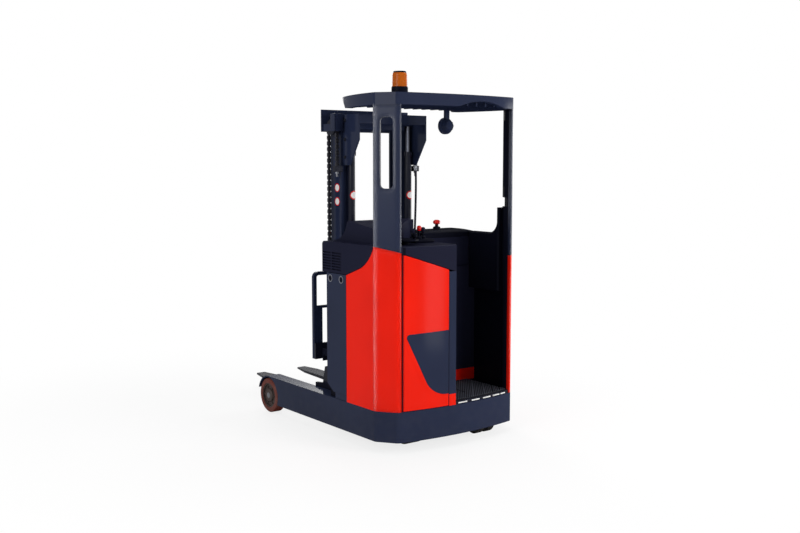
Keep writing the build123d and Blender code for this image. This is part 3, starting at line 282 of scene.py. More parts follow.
class Graph(Nodes):
    """The node tree of one material, with its Principled shader."""

    def __init__(self, name: str) -> None:
        """Make an empty material with one Principled shader.

        Args:
            name: The material's name.
        """
        self.material = bpy.data.materials.new(name)
        self.material.use_nodes = True
        super().__init__(self.material.node_tree)
        self.shader = self.tree.nodes["Principled BSDF"]
        self.place = self.node("ShaderNodeTexCoord").outputs["Object"]

    def stretched(self, scale: Point) -> bpy.types.NodeSocket:
        """Return the place on the object, scaled along each axis."""
        return self.node("ShaderNodeMapping", None, {"Vector": self.place, "Scale": scale}).outputs["Vector"]

    def noise(self, scale: float, detail: float = 3.0, place: bpy.types.NodeSocket | None = None) -> Value:
        """Return a noise pattern between 0 and 1."""
        inputs = {"Vector": place or self.place, "Scale": scale, "Detail": detail}
        return Value(self, self.node("ShaderNodeTexNoise", None, inputs).outputs["Fac"])

    def height(self) -> Value:
        """Return the height above the floor."""
        split = self.node("ShaderNodeSeparateXYZ", None, {"Vector": self.place})
        return Value(self, split.outputs["Z"])

    def shaded_underside(self) -> Value:
        """Return 1 on faces that look down, and 0 on those that look aside or up, to take the coat off
        undersides as painted shade.

        Returns:
            The value.
        """
        normal = self.node("ShaderNodeNewGeometry").outputs["Normal"]
        split = self.node("ShaderNodeSeparateXYZ", None, {"Vector": normal})
        return (0 - Value(self, split.outputs["Z"])).ramp(0.1, 0.6)

    def blend(self, first: Any, second: Any, share: Value) -> bpy.types.NodeSocket:
        """Return a colour that goes from the first to the second as share goes from 0 to 1."""
        sockets = {0: share, 6: rgba(first), 7: rgba(second)}
        return self.node("ShaderNodeMix", {"data_type": "RGBA"}, sockets).outputs[2]

    def rounding(self, radius: float) -> bpy.types.NodeSocket:
        """Return normals that round the edges to a radius."""
        return self.node("ShaderNodeBevel", {"samples": 4}, {"Radius": radius}).outputs["Normal"]

    def edges(self, rounded: bpy.types.NodeSocket) -> Value:
        """Return 1 along the rounded edges and 0 on flat faces.

        Args:
            rounded: Normals with rounded edges.

        Returns:
            The value.
        """
        plain = self.node("ShaderNodeNewGeometry").outputs["Normal"]
        dot = self.node("ShaderNodeVectorMath", {"operation": "DOT_PRODUCT"}, {0: rounded, 1: plain})
        return (1 - Value(self, dot.outputs["Value"])).ramp(0.01, 0.2)

    def bump(self, height: Value, depth: float, normal: bpy.types.NodeSocket) -> None:
        """Give the shader a bump of that depth in metres over those normals."""
        inputs = {"Height": height, "Distance": depth, "Strength": 1.0, "Normal": normal}
        self.set("Normal", self.node("ShaderNodeBump", None, inputs).outputs["Normal"])

    def set(self, name: str, given: Any) -> None:
        """Set or link one of the shader's sockets."""
        self.feed(self.shader.inputs[name], given)


def rgba(colour: Any) -> Any:
    """Return a colour with its alpha, and anything else as it is."""
    return (*colour, 1.0) if isinstance(colour, tuple) and len(colour) == 3 else colour


class Surface(Enum):
    """Kinds of surface, each with the scale, detail and depth in metres of its grain."""

    PAINT = (260.0, 2.0, 0.00010)
    SMOOTH = (160.0, 1.0, 0.00003)
    MOULDED = (900.0, 1.0, 0.00018)
    CAST = (420.0, 3.0, 0.00040)
    BRUSHED = (40.0, 4.0, 0.00010)
    TYRE = (150.0, 5.0, 0.00050)
    RUBBER = (350.0, 2.0, 0.00050)
    LENS = (80.0, 1.0, 0.00006)


@dataclass(frozen=True)
class Finish:
    """One material of the truck."""

    slot: str
    surface: Surface
    colour: Colour
    roughness: float
    metallic: float = 0.0
    coat: float = 0.30
    coat_roughness: float = 0.30
    gloss: float = 0.0
    clear: float = 0.0
    edge: float = 0.0025
    wear: float = 0.08
    dust: float = 0.06
    # Heights over which the painted shade in the grooves fades out, if there is one.
    groove_shade: tuple[float, float] | None = None
    worn_colour: Colour = (0.16, 0.17, 0.20)
    dust_colour: Colour = (0.20, 0.18, 0.16)

    def build(self) -> bpy.types.Material:
        """Return the material with its nodes.

        Returns:
            The material.
        """
        graph = Graph(self.slot)
        rounded = graph.rounding(self.edge)
        patches = graph.noise(PATCH_SCALE, 1.0)
        low = (1 - graph.height().ramp(0.0, DUST_TOP)) * graph.noise(DUST_SCALE, 5.0).ramp(0.35, 0.8)
        graph.set("Base Color", self.weathered(graph, rounded, patches, low))
        graph.set("Metallic", self.metallic)
        # Faces that look down lose their coat, so they mirror less of the white around them: painted shade on
        # undersides.
        graph.set("Coat Weight", (1 - graph.shaded_underside()) * self.coat)
        graph.set("Coat Roughness", self.coat_roughness)
        graph.set("Specular IOR Level", self.gloss)
        graph.set("Transmission Weight", self.clear)
        graph.set("Roughness", patches * PATCH_ROUGH + low * DUST_ROUGH + (self.roughness - PATCH_ROUGH / 2))
        scale, detail, depth = self.surface.value
        along = graph.stretched((30.0, 30.0, 1.0)) if self.surface is Surface.BRUSHED else None
        graph.bump(graph.noise(scale, detail, along), depth, rounded)
        return graph.material

    def weathered(
        self, graph: Graph, rounded: bpy.types.NodeSocket, patches: Value, low: Value
    ) -> bpy.types.NodeSocket:
        """Return the colour with its uneven tone, its painted shade in the grooves, its worn edges and the
        dust near the floor.

        Args:
            graph: The graph that gets the nodes.
            rounded: Normals with rounded edges.
            patches: Large soft patches, from 0 to 1.
            low: How much dust lies there, from 0 to 1.

        Returns:
            The colour's socket.
        """
        shade = tuple(0.90 * c for c in self.colour)
        colour = graph.blend(shade, self.colour, patches.ramp(0.3, 0.7))
        # Below the rib tops the colour is darkened to 15%: painted shade in the grooves.
        if self.groove_shade:
            groove_shade_colour = tuple(0.15 * c for c in self.colour)
            colour = graph.blend(groove_shade_colour, colour, graph.height().ramp(*self.groove_shade))
        scuffs = graph.noise(SCUFF_SCALE, 6.0).ramp(0.45, 0.75)
        colour = graph.blend(colour, self.worn_colour, graph.edges(rounded) * scuffs * self.wear)
        return graph.blend(colour, self.dust_colour, low * self.dust)


FINISHES: tuple[Finish, ...] = (
    Finish("charcoal_paint", Surface.PAINT, CHARCOAL, 0.50, coat=0.18, coat_roughness=0.12, edge=0.008,
           wear=0.04, dust=0.03),
    Finish("red_paint", Surface.PAINT, RED, 0.50, coat=0.16, coat_roughness=0.12, edge=0.004, wear=0.04,
           dust=0.03, worn_colour=(0.5, 0.08, 0.04)),
    Finish("charcoal_bend", Surface.SMOOTH, CHARCOAL, 0.24, coat=0.0, gloss=0.12, edge=0.040, wear=0.0,
           dust=0.03),
    Finish("red_bend", Surface.SMOOTH, RED, 0.24, coat=0.0, gloss=0.08, edge=0.040, wear=0.0, dust=0.03),
    Finish("black_paint", Surface.PAINT, (0.008, 0.009, 0.018), 0.50, coat=0.25, coat_roughness=0.14,
           wear=0.10),
    Finish("grey_plastic", Surface.MOULDED, (0.012, 0.013, 0.028), 0.65, coat=0.05, coat_roughness=0.35,
           edge=0.005, wear=0.04),
    Finish("black_plastic", Surface.MOULDED, (0.004, 0.0045, 0.010), 0.65, coat=0.05, coat_roughness=0.40,
           wear=0.04),
    # The mat's grooves, below its rib tops, get painted shade.
    Finish("rubber_mat", Surface.RUBBER, (0.085, 0.090, 0.115), 0.75, coat=0.10, coat_roughness=0.50,
           wear=0.1, groove_shade=(0.2948, 0.2975)),
    Finish("polyurethane", Surface.TYRE, (0.13, 0.034, 0.026), 0.55, coat=0.15, coat_roughness=0.35,
           dust=0.20),
    Finish("dark_tyre", Surface.TYRE, (0.014, 0.014, 0.016), 0.70, coat=0.12, coat_roughness=0.50, dust=0.25),
    Finish("hub_metal", Surface.CAST, (0.050, 0.036, 0.034), 0.50, metallic=0.3, coat=0.10, dust=0.20),
    Finish("bright_steel", Surface.BRUSHED, (0.12, 0.125, 0.14), 0.36, metallic=1.0, coat=0.0, edge=0.001),
    Finish("chain_steel", Surface.CAST, (0.022, 0.022, 0.030), 0.45, metallic=0.3, coat=0.20, edge=0.001),
    Finish("chrome_rod", Surface.BRUSHED, (0.10, 0.105, 0.13), 0.20, metallic=1.0, coat=0.0, edge=0.001,
           wear=0.0),
    Finish("cast_dark", Surface.CAST, (0.016, 0.017, 0.026), 0.55, coat=0.15, coat_roughness=0.30),
    Finish("amber_lens", Surface.LENS, (0.46, 0.095, 0.003), 0.30, coat=0.22, coat_roughness=0.08,
           edge=0.0015, wear=0.0, dust=0.0),
    Finish("white_paint", Surface.PAINT, (0.75, 0.75, 0.74), 0.45, edge=0.001, wear=0.2, dust=0.15),
    Finish("signal_red", Surface.MOULDED, (0.62, 0.012, 0.010), 0.40, coat=0.3, coat_roughness=0.15,
           edge=0.001, wear=0.0),
    Finish("pale_rim", Surface.BRUSHED, (0.15, 0.155, 0.18), 0.42, metallic=0.9, coat=0.0, edge=0.0008),
    Finish("lamp_glass", Surface.LENS, (0.020, 0.022, 0.030), 0.20, coat=0.6, coat_roughness=0.06, clear=0.3,
           edge=0.001, wear=0.0, dust=0.0),
)


# Solids whose rounded corners mirror more light than flat faces of the same paint.
BENT = {"corner_posts": "charcoal_bend", "corner_panels": "red_bend"}


class Palette:
    """Every finish, made once, and the finish of each solid."""

    def __init__(self, finishes: Iterable[Finish]) -> None:
        """Build the materials."""
        self.materials = {finish.slot: finish.build() for finish in finishes}
        self.slots = {row["slot"] for row in frame["record"]["materials"]}

    def dress(self, obj: bpy.types.Object, slot: str) -> None:
        """Give an object one finish."""
        obj.data.materials.clear()
        obj.data.materials.append(self.materials[slot])

    def dress_piece(self, obj: bpy.types.Object, slot: str) -> None:
        """Give a new piece one finish.

        Args:
            obj: The piece.
            slot: The finish.
        """
        self.dress(obj, slot)
        slot in self.slots

    def dress_solids(self) -> None:
        """Give every solid the finish that the record names."""
        for row in frame["record"]["subparts"]:
            slot = BENT.get(row["node"], row["material_slot"])
            self.dress(frame["nodes"][row["node"]], slot)
            log.info("solid %s takes %s", row["node"], slot)


class Form:
    """A mesh under construction, shaped with Blender's mesh operators."""

    def __init__(self) -> None:
        """Start an empty mesh."""
        self.bm = bmesh.new()

    def slab(
        self, low: Sequence[float], high: Sequence[float], round_to: float = 0.0, turn: float = 0.0
    ) -> "Form":
        """Add a box with rounded edges.

        Args:
            low: Its lowest corner.
            high: Its highest corner.
            round_to: The radius of its edges.
            turn: An angle about Z through its middle.

        Returns:
            The form itself.
        """
        low, high = Vector(low), Vector(high)
        verts = bmesh.ops.create_cube(self.bm, size=1.0)["verts"]
        bmesh.ops.scale(self.bm, vec=high - low, verts=verts)
        bmesh.ops.rotate(self.bm, cent=(0, 0, 0), matrix=Matrix.Rotation(turn, 3, "Z"), verts=verts)
        bmesh.ops.translate(self.bm, vec=(low + high) / 2, verts=verts)
        if round_to:
            self.round({edge for vert in verts for edge in vert.link_edges}, round_to)
        return self

    def round(self, edges: Iterable[bmesh.types.BMEdge], radius: float, segments: int = 2) -> "Form":
        """Round edges to a radius.

        Args:
            edges: The edges.
            radius: The radius.
            segments: Faces across the rounding.

        Returns:
            The form itself.
        """
        bmesh.ops.bevel(
            self.bm, geom=list(edges), offset=radius, offset_type="OFFSET", affect="EDGES",
            segments=segments, profile=0.5, material=-1, clamp_overlap=True,
        )
        return self

    def turned(self, profile: Profile, centre: Vector, axis: Axis, steps: int = 40) -> "Form":
        """Add a turned shape.

        Args:
            profile: Radius and height along the axis, from one end to the other.
            centre: Where height 0 is.
            axis: The direction of the axis.
            steps: Steps of the full turn.

        Returns:
            The form itself.
        """
        before = set(self.bm.verts)
        verts = [self.bm.verts.new((radius, 0.0, height)) for radius, height in profile]
        edges = [self.bm.edges.new(pair) for pair in zip(verts, verts[1:])]
        bmesh.ops.spin(
            self.bm, geom=verts + edges, cent=(0, 0, 0), axis=(0, 0, 1), angle=math.tau, steps=steps,
            use_merge=True,
        )
        new = [vert for vert in self.bm.verts if vert not in before]
        bmesh.ops.remove_doubles(self.bm, verts=new, dist=1e-5)
        new = [vert for vert in self.bm.verts if vert not in before]
        bmesh.ops.transform(self.bm, matrix=Matrix.Translation(centre) @ axis.turn(), verts=new)
        return self

    def bolt(self, centre: Vector, axis: Axis, across: float = 0.016, head: float = 0.007) -> "Form":
        """Add a hexagon head on its washer.

        Args:
            centre: The middle of the washer's underside.
            axis: The way out.
            across: The head's width across its corners.
            head: The head's height.

        Returns:
            The form itself.
        """
        washer, flat = across * 0.72, head * 0.3
        self.turned([(0, 0), (washer, 0), (washer, flat), (0, flat)], centre, axis, 16)
        hexagon = [(0, 0), (across / 2, 0), (across / 2, head * 0.6), (across * 0.4, head), (0, head)]
        return self.turned(hexagon, centre + Vector(axis.value) * flat, axis, 6)

    def panel(self, corners: Iterable[Point]) -> "Form":
        """Add a flat face in XZ from corners that are given as x, z and corner radius.

        Args:
            corners: The corners in order.

        Returns:
            The form itself.
        """
        corners = list(corners)
        verts = [self.bm.verts.new((x, 0.0, z)) for x, z, _ in corners]
        self.bm.faces.new(verts)
        for vert, (_, _, radius) in zip(verts, corners):
            if radius:
                bmesh.ops.bevel(
                    self.bm, geom=[vert], offset=radius, offset_type="OFFSET", affect="VERTICES",
                    segments=8, profile=0.5, material=-1, clamp_overlap=True,
                )
        return self

    def disc(self, radius: float, hole: float, height: float) -> "Form":
        """Add a flat disc in XZ, with a hole if that is more than 0, its middle at x 0 and a height.

        Args:
            radius: The disc's radius.
            hole: The hole's radius.
            height: The height of its middle.

        Returns:
            The form itself.
        """
        made = bmesh.ops.create_circle(self.bm, cap_ends=True, radius=radius, segments=32)["verts"]
        turn = Matrix.Translation((0.0, 0.0, height)) @ Matrix.Rotation(math.pi / 2, 4, "X")
        bmesh.ops.transform(self.bm, matrix=turn, verts=made)
        if hole:
            middle = self.bm.faces[:]
            bmesh.ops.inset_individual(self.bm, faces=middle, thickness=radius - hole, use_even_offset=True)
            bmesh.ops.delete(self.bm, geom=middle, context="FACES")
        return self

    def wrap(self, bend: Bend, thickness: float, step: float = 0.02) -> "Form":
        """Cut the flat faces in XZ into strips, bend them on to a curved face and give them thickness.

        Args:
            bend: Gives the place of the point at x and z, some depth below the outside.
            thickness: Their thickness.
            step: The width of the strips.

        Returns:
            The form itself.
        """
        across = [vert.co.x for vert in self.bm.verts]
        left = min(across)
        for i in range(1, math.ceil((max(across) - left) / step)):
            self.cut(Vector((left + i * step, 0.0, 0.0)), Vector((1.0, 0.0, 0.0)))
        grown = bmesh.ops.extrude_face_region(self.bm, geom=self.bm.faces[:], use_keep_orig=True)["geom"]
        inner = {part for part in grown if isinstance(part, bmesh.types.BMVert)}
        for vert in self.bm.verts:
            vert.co = bend(vert.co.x, vert.co.z, thickness if vert in inner else 0.0)
        return self

    def cut(self, place: Vector, across: Vector) -> "Form":
        """Cut every face along a plane, and keep both sides.

        Args:
            place: A point on the plane.
            across: The plane's normal.

        Returns:
            The form itself.
        """
        geom = self.bm.verts[:] + self.bm.edges[:] + self.bm.faces[:]
        bmesh.ops.bisect_plane(self.bm, geom=geom, plane_co=place, plane_no=across)
        return self

    def mesh(self, name: str) -> bpy.types.Mesh:
        """Return the shape as a mesh, and end the construction.

        Args:
            name: The mesh's name.

        Returns:
            The mesh.
        """
        mesh = bpy.data.meshes.new(name)
        self.bm.to_mesh(mesh)
        self.bm.free()
        return mesh

    def stamp(self, mesh: bpy.types.Mesh, place: Matrix) -> "Form":
        """Add a copy of a mesh at a place.

        Args:
            mesh: The mesh.
            place: The place.

        Returns:
            The form itself.
        """
        before = len(self.bm.verts)
        self.bm.from_mesh(mesh)
        bmesh.ops.transform(self.bm, matrix=place, verts=self.bm.verts[before:])
        return self

    def take(self, other: "Form") -> "Form":
        """Add another form's shape, which ends its construction.

        Args:
            other: The other form.

        Returns:
            The form itself.
        """
        mesh = other.mesh("part")
        self.stamp(mesh, Matrix.Identity(4))
        bpy.data.meshes.remove(mesh)
        return self

    def done(self, name: str, smooth: float = 40.0) -> bpy.types.Object:
        """Return the finished object.

        Args:
            name: The piece's name.
            smooth: Edges sharper than this angle in degrees stay sharp.

        Returns:
            The object, with its place in its mesh.
        """
        bmesh.ops.remove_doubles(self.bm, verts=self.bm.verts, dist=1e-6)
        bmesh.ops.recalc_face_normals(self.bm, faces=self.bm.faces)
        for face in self.bm.faces:
            face.smooth = True
        limit = math.radians(smooth)
        for edge in self.bm.edges:
            edge.smooth = edge.is_manifold and edge.calc_face_angle(0.0) < limit
        obj = bpy.data.objects.new(name, self.mesh(name))
        bpy.context.scene.collection.objects.link(obj)
        return obj


@dataclass
class SubAssembly:
    """What the sub-assemblies share: the palette and the way to add a piece."""

    palette: Palette

    def add(self, form: Form, name: str, body: Body, slot: str, smooth: float = 40.0) -> bpy.types.Object:
        """Finish a form, dress it and let it ride on a body.

        Args:
            form: The mesh under construction.
            name: The piece's name.
            body: The body that it moves with.
            slot: Its finish.
            smooth: Edges sharper than this angle stay sharp.

        Returns:
            The new piece.
        """
        obj = form.done(name, smooth)
        self.palette.dress_piece(obj, slot)
        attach(obj, body.value)
        log.info("piece %s on %s", name, body.value)
        return obj

    def strip(
        self, name: str, body: Body, slot: str, across: tuple[float, float], height: tuple[float, float],
        proud: float,
    ) -> None:
        """Add a thin upright strip on the arched rear face.

        Args:
            name: The piece's name.
            body: The body that it moves with.
            slot: Its finish.
            across: Its left and right.
            height: Its bottom and top.
            proud: How far it stands off the face, and how deep it sits in it.
        """
        (left, right), (low, high) = across, height
        corners = ((left, low, 0.0), (right, low, 0.0), (right, high, 0.0), (left, high, 0.0))
        self.add(Form().panel(corners).wrap(rear_skin(proud), 2 * proud), name, body, slot)

    def build(self) -> None:
        """Build every piece of the sub-assembly."""
        raise NotImplementedError


@dataclass
class BodyTrim(SubAssembly):
    """Eyelets on the covers, strips on the step, the foot of the jamb and the slot in the rim; the eyelets'
    holes and the rim's slot are flat black pieces, painted shade.
    """

    eyelet_y: tuple[float, ...] = (0.359, 0.486)
    eyelet_z: float = 1.066
    eyelet_radius: float = 0.025
    strips: tuple[tuple[float, float], ...] = (
        (-0.026, 0.049), (0.091, 0.160), (0.194, 0.265), (0.291, 0.358), (0.370, 0.417)
    )
    strip_height: tuple[float, float] = (0.274, 0.282)
    strip_depth: float = 0.004
    strip_inset: float = 0.0015
    strip_round: float = 0.0012
    jamb: tuple[float, float] = (-0.105, -0.0505)
    jamb_height: tuple[float, float] = (0.270, 0.345)
    rim_slot_shade: tuple[float, float] = (-0.447, -0.428)
    rim_slot_shade_height: tuple[float, float] = (1.257, 1.302)
    proud: float = 0.0008

    def build(self) -> None:
        """Build the trim."""
        self.eyelets()
        self.step_strips()
        self.strip("jamb_foot", Body.CHASSIS, "red_paint", self.jamb, self.jamb_height, self.proud)
        # A flat black strip stands in for the slot in the rim: painted shade.
        self.strip("rim_slot_shade", Body.CHASSIS, "black_plastic", self.rim_slot_shade, self.rim_slot_shade_height, self.proud)

    def eyelets(self) -> None:
        """Add a pale ring round a flat black disc at each eyelet; the disc is painted shade that stands in
        for the hole.
        """
        r = self.eyelet_radius
        rings, hole_shades = Form(), Form()
        ring = [
            (0.74 * r, 0), (r, 0), (r, 0.0012), (0.92 * r, 0.002), (0.80 * r, 0.002), (0.74 * r, 0.0008),
            (0.74 * r, 0),
        ]
        for y in self.eyelet_y:
            for side, axis in ((-1, Axis.MINUS_X), (1, Axis.X)):
                centre = at(side * HALF, y, self.eyelet_z)
                rings.turned(ring, centre, axis)
                hole_shades.turned([(0, 0), (0.76 * r, 0), (0.76 * r, 0.0004), (0, 0.0004)], centre, axis)
        self.add(rings, "cover_eyelets", Body.CHASSIS, "pale_rim")
        self.add(hole_shades, "cover_eyelet_hole_shade", Body.CHASSIS, "black_plastic")

    def step_strips(self) -> None:
        """Add the white strips along the edge of the step."""
        form = Form()
        low, high = self.strip_height
        for left, right in self.strips:
            middle = (left + right) / 2
            rear = rear_arc(middle) + self.strip_inset
            turn = math.asin(middle / REAR_RADIUS)
            form.slab((left, rear, low), (right, rear + self.strip_depth, high), self.strip_round, turn)
        self.add(form, "step_strips", Body.CHASSIS, "white_paint")


@dataclass
class Platform(SubAssembly):
    """The ribbed mat that the operator stands on, and a black bar in it that is painted shade for the slot at
    the pedal's edge.
    """

    left: float = -0.046
    right: float = 0.449
    front: float = 0.284
    inset: float = 0.024
    heights: tuple[float, float] = (0.290, 0.2945)
    rib: float = 0.0035
    rib_slope: float = 0.001
    pitch: float = 0.0125
    lie: float = 40.0
    pedal: tuple[Point, Point] = ((0.155, -0.036, 0.2935), (0.164, 0.061, 0.2982))

    def build(self) -> None:
        """Build the mat in the place of its plain solid, and the black bar of painted shade at the pedal's
        edge.
        """
        form = self.ribs(self.sheet())
        mat = self.add(form, "ribbed_mat", Body.CHASSIS, "rubber_mat", 30)
        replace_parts(mat, "platform_mat")
        # A black bar along the pedal's edge stands in for the shade in the slot there.
        low, high = self.pedal
        edge = Form().slab(at(*low), at(*high), 0.0015)
        self.add(edge, "pedal_slot_shade", Body.CHASSIS, "black_plastic")

    def sheet(self) -> Form:
        """Return the flat sheet, cut into strips that lie at an angle to the truck.

        Returns:
            The sheet.
        """
        rear = rear_arc(0.0) + self.inset
        front = SEAM + self.front
        form = Form()
        corners = [(self.left, rear), (self.right, rear), (self.right, front), (self.left, front)]
        form.bm.faces.new([form.bm.verts.new((x, y, self.heights[1])) for x, y in corners])
        across = self.across()
        spans = [across.dot(Vector((x, y, 0.0))) for x, y in corners]
        for i in range(1, math.ceil((max(spans) - min(spans)) / (self.pitch / 2))):
            form.cut(across * (min(spans) + i * self.pitch / 2), across)
        for vert in form.bm.verts:
            own = rear_arc(vert.co.x) + self.inset
            vert.co.y = front - (front - vert.co.y) * (front - own) / (front - rear)
        return form

    def ribs(self, form: Form) -> Form:
        """Return the sheet with every other strip raised, and with its thickness.

        Args:
            form: The flat sheet.

        Returns:
            The ribbed sheet.
        """
        across = self.across()
        start = across.dot(Vector((self.left, SEAM + self.front, 0.0)))
        low, high = self.heights
        tops = form.bm.faces[:]
        grown = bmesh.ops.extrude_face_region(form.bm, geom=tops, use_keep_orig=True)["geom"]
        under = [part for part in grown if isinstance(part, bmesh.types.BMVert)]
        bmesh.ops.translate(form.bm, vec=(0.0, 0.0, low - high), verts=under)
        bmesh.ops.recalc_face_normals(form.bm, faces=form.bm.faces)
        raised = [
            face for face in tops
            if int((across.dot(face.calc_center_median()) - start) / (self.pitch / 2)) % 2 == 0
        ]
        bmesh.ops.inset_individual(
            form.bm, faces=raised, thickness=self.rib_slope, depth=self.rib, use_even_offset=True
        )
        return form

    def across(self) -> Vector:
        """Return the direction across the ribs."""
        lie = math.radians(self.lie)
        return Vector((math.cos(lie), -math.sin(lie), 0.0))


@dataclass
class ServiceDoor(SubAssembly):
    """The dark plate on the service door, and a black strip on the door's hinge side that is painted shade
    for the gap beside it.
    """

    corners: tuple[Point, ...] = (
        (-0.431, 0.756, 0.035), (-0.110, 0.764, 0.004), (-0.110, 0.352, 0.004), (-0.236, 0.352, 0.100)
    )
    plate_proud: float = 0.0012
    plate_thick: float = 0.0022
    gap_shade_width: float = 0.006
    gap_shade_proud: float = 0.0010
    gap_shade_lift: float = 0.018
    gap_shade_top: float = 1.262

    def build(self) -> None:
        """Build the plate and the black strip of painted shade in the door gap, which follow the door's arch.
        """
        form = Form().panel(self.corners).wrap(rear_skin(self.plate_proud), self.plate_thick)
        self.add(form, "door_plate", Body.DOOR, "charcoal_paint")
        # A thin black strip along the door's hinge edge stands in for the shade in the gap between door and
        # corner panel.
        low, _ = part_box("service_door")
        across, height = (low.x, low.x + self.gap_shade_width), (low.z + self.gap_shade_lift, self.gap_shade_top)
        self.strip("door_gap_shade", Body.DOOR, "black_plastic", across, height, self.gap_shade_proud)


@dataclass
class Controls(SubAssembly):
    """The operator's controls: lever pod, steering disc and emergency stop."""

    stop: tuple[float, float] = (0.219, 0.345)
    stop_head: float = 1.400
    pod: tuple[Point, Point] = ((-0.225, 0.015, BODY_TOP), (-0.062, 0.165, BODY_TOP + 0.022))
    levers: tuple[Point, ...] = ((-0.186, 0.095, 0.045), (-0.140, 0.085, 0.062), (-0.096, 0.100, 0.050))
    steering: Point = (-0.330, -0.010, BODY_TOP)
    knob: Point = (0.050, -0.035, 0.0)

    def build(self) -> None:
        """Build every control."""
        self.emergency_stop()
        self.lever_pod()
        self.steering_disc()

    def emergency_stop(self) -> None:
        """Add the collar, stem and red mushroom of the emergency stop."""
        foot = at(*self.stop, top_of("console", *self.stop) - 0.003)
        rise = self.stop_head - foot.z
        collar = [
            (0, 0), (0.026, 0), (0.026, 0.012), (0.020, 0.018), (0.012, 0.020), (0.011, rise + 0.006),
            (0, rise + 0.006),
        ]
        self.add(Form().turned(collar, foot, Axis.Z), "stop_collar", Body.CHASSIS, "black_plastic")
        cap = [
            (0, 0), (0.016, 0), (0.024, 0.006), (0.026, 0.015), (0.022, 0.025), (0.012, 0.030), (0, 0.031)
        ]
        head = at(*self.stop, self.stop_head)
        self.add(Form().turned(cap, head, Axis.Z), "stop_mushroom", Body.CHASSIS, "signal_red")

    def lever_pod(self) -> None:
        """Add the pod with its levers, boots and knobs."""
        low, high = self.pod
        pod = Form().slab(at(*low), at(*high), 0.009)
        self.add(pod, "lever_pod", Body.CHASSIS, "black_plastic")
        boots, knobs, tips = Form(), Form(), Form()
        for x, y, rise in self.levers:
            foot = at(x, y, high[2] - 0.001)
            boot = [
                (0, 0), (0.019, 0), (0.017, 0.006), (0.019, 0.010), (0.013, 0.016), (0.006, 0.022),
                (0.006, rise), (0, rise),
            ]
            boots.turned(boot, foot, Axis.Z, 24)
            knob = [(0, -0.008), (0.009, -0.008), (0.015, 0.004), (0.015, 0.016), (0.010, 0.024), (0, 0.026)]
            tallest = rise == max(lever[2] for lever in self.levers)
            (tips if tallest else knobs).turned(knob, foot + Vector((0.0, 0.0, rise)), Axis.Z, 24)
        self.add(boots, "lever_boots", Body.CHASSIS, "black_plastic")
        self.add(knobs, "lever_knobs", Body.CHASSIS, "grey_plastic")
        self.add(tips, "lever_tip", Body.CHASSIS, "signal_red")

    def steering_disc(self) -> None:
        """Add the flat steering disc with its spinner knob."""
        centre = at(*self.steering)
        disc = [
            (0, 0), (0.030, 0), (0.030, 0.018), (0.082, 0.020), (0.090, 0.026), (0.088, 0.034),
            (0.070, 0.036), (0.030, 0.032), (0, 0.032),
        ]
        form = Form().turned(disc, centre, Axis.Z, 48)
        knob = [
            (0, 0.030), (0.008, 0.030), (0.008, 0.042), (0.018, 0.048), (0.020, 0.066), (0.014, 0.074),
            (0, 0.075),
        ]
        form.turned(knob, centre + Vector(self.knob), Axis.Z, 28)
        self.add(form, "steering_disc", Body.CHASSIS, "black_plastic")


@dataclass
class Beacon(SubAssembly):
    """The beacon on the roof: a stepped base, a ribbed amber lens and a dark cap."""

    base_radius: float = 0.051
    foot_radius: float = 0.057
    lens_radius: float = 0.048
    taper: float = 0.05
    ribs: int = 7
    cap_height: float = 0.010
    steps: int = 56

    def build(self) -> None:
        """Build the pieces in the places of their plain solids."""
        low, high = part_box("beacon_base")
        middle = (low + high) / 2
        seat = high.z - low.z
        foot, base = self.foot_radius, self.base_radius
        steps = [
            (0, 0), (foot, 0), (foot, 0.004), (base, 0.007), (base, seat - 0.004), (base - 0.004, seat),
            (0, seat),
        ]
        form = Form().turned(steps, Vector((middle.x, middle.y, low.z)), Axis.Z, self.steps)
        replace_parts(self.add(form, "beacon_seat", Body.CHASSIS, "black_plastic"), "beacon_base")
        low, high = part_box("beacon_lens")
        self.lens(Vector((middle.x, middle.y, low.z)), high.z - low.z)

    def lens(self, foot: Vector, height: float) -> None:
        """Add the ribbed lens and its cap.

        Args:
            foot: The middle of the lens's underside.
            height: The height of the lens with its cap.
        """
        top = height - self.cap_height
        pitch = (top - 0.008) / self.ribs
        r = self.lens_radius
        profile: Profile = [(0.0, 0.0), (r, 0.0)]
        for i in range(self.ribs):
            z = (i + 0.5) * pitch
            wide = r * (1.0 - self.taper * i / self.ribs)
            profile += [(wide, z - 0.35 * pitch), (wide * 0.96, z + 0.25 * pitch)]
        last = profile[-1][0]
        profile += [(last, top - 0.006), (last * 0.93, top), (0.0, top)]
        form = Form().turned(profile, foot, Axis.Z, self.steps)
        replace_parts(self.add(form, "beacon_ribbed_lens", Body.CHASSIS, "amber_lens", 60), "beacon_lens")
        wide = last * 0.92
        cap = [
            (0, top - 0.001), (wide, top - 0.001), (wide, height - 0.004), (wide - 0.005, height), (0, height)
        ]
        self.add(Form().turned(cap, foot, Axis.Z), "beacon_cap", Body.CHASSIS, "black_plastic")


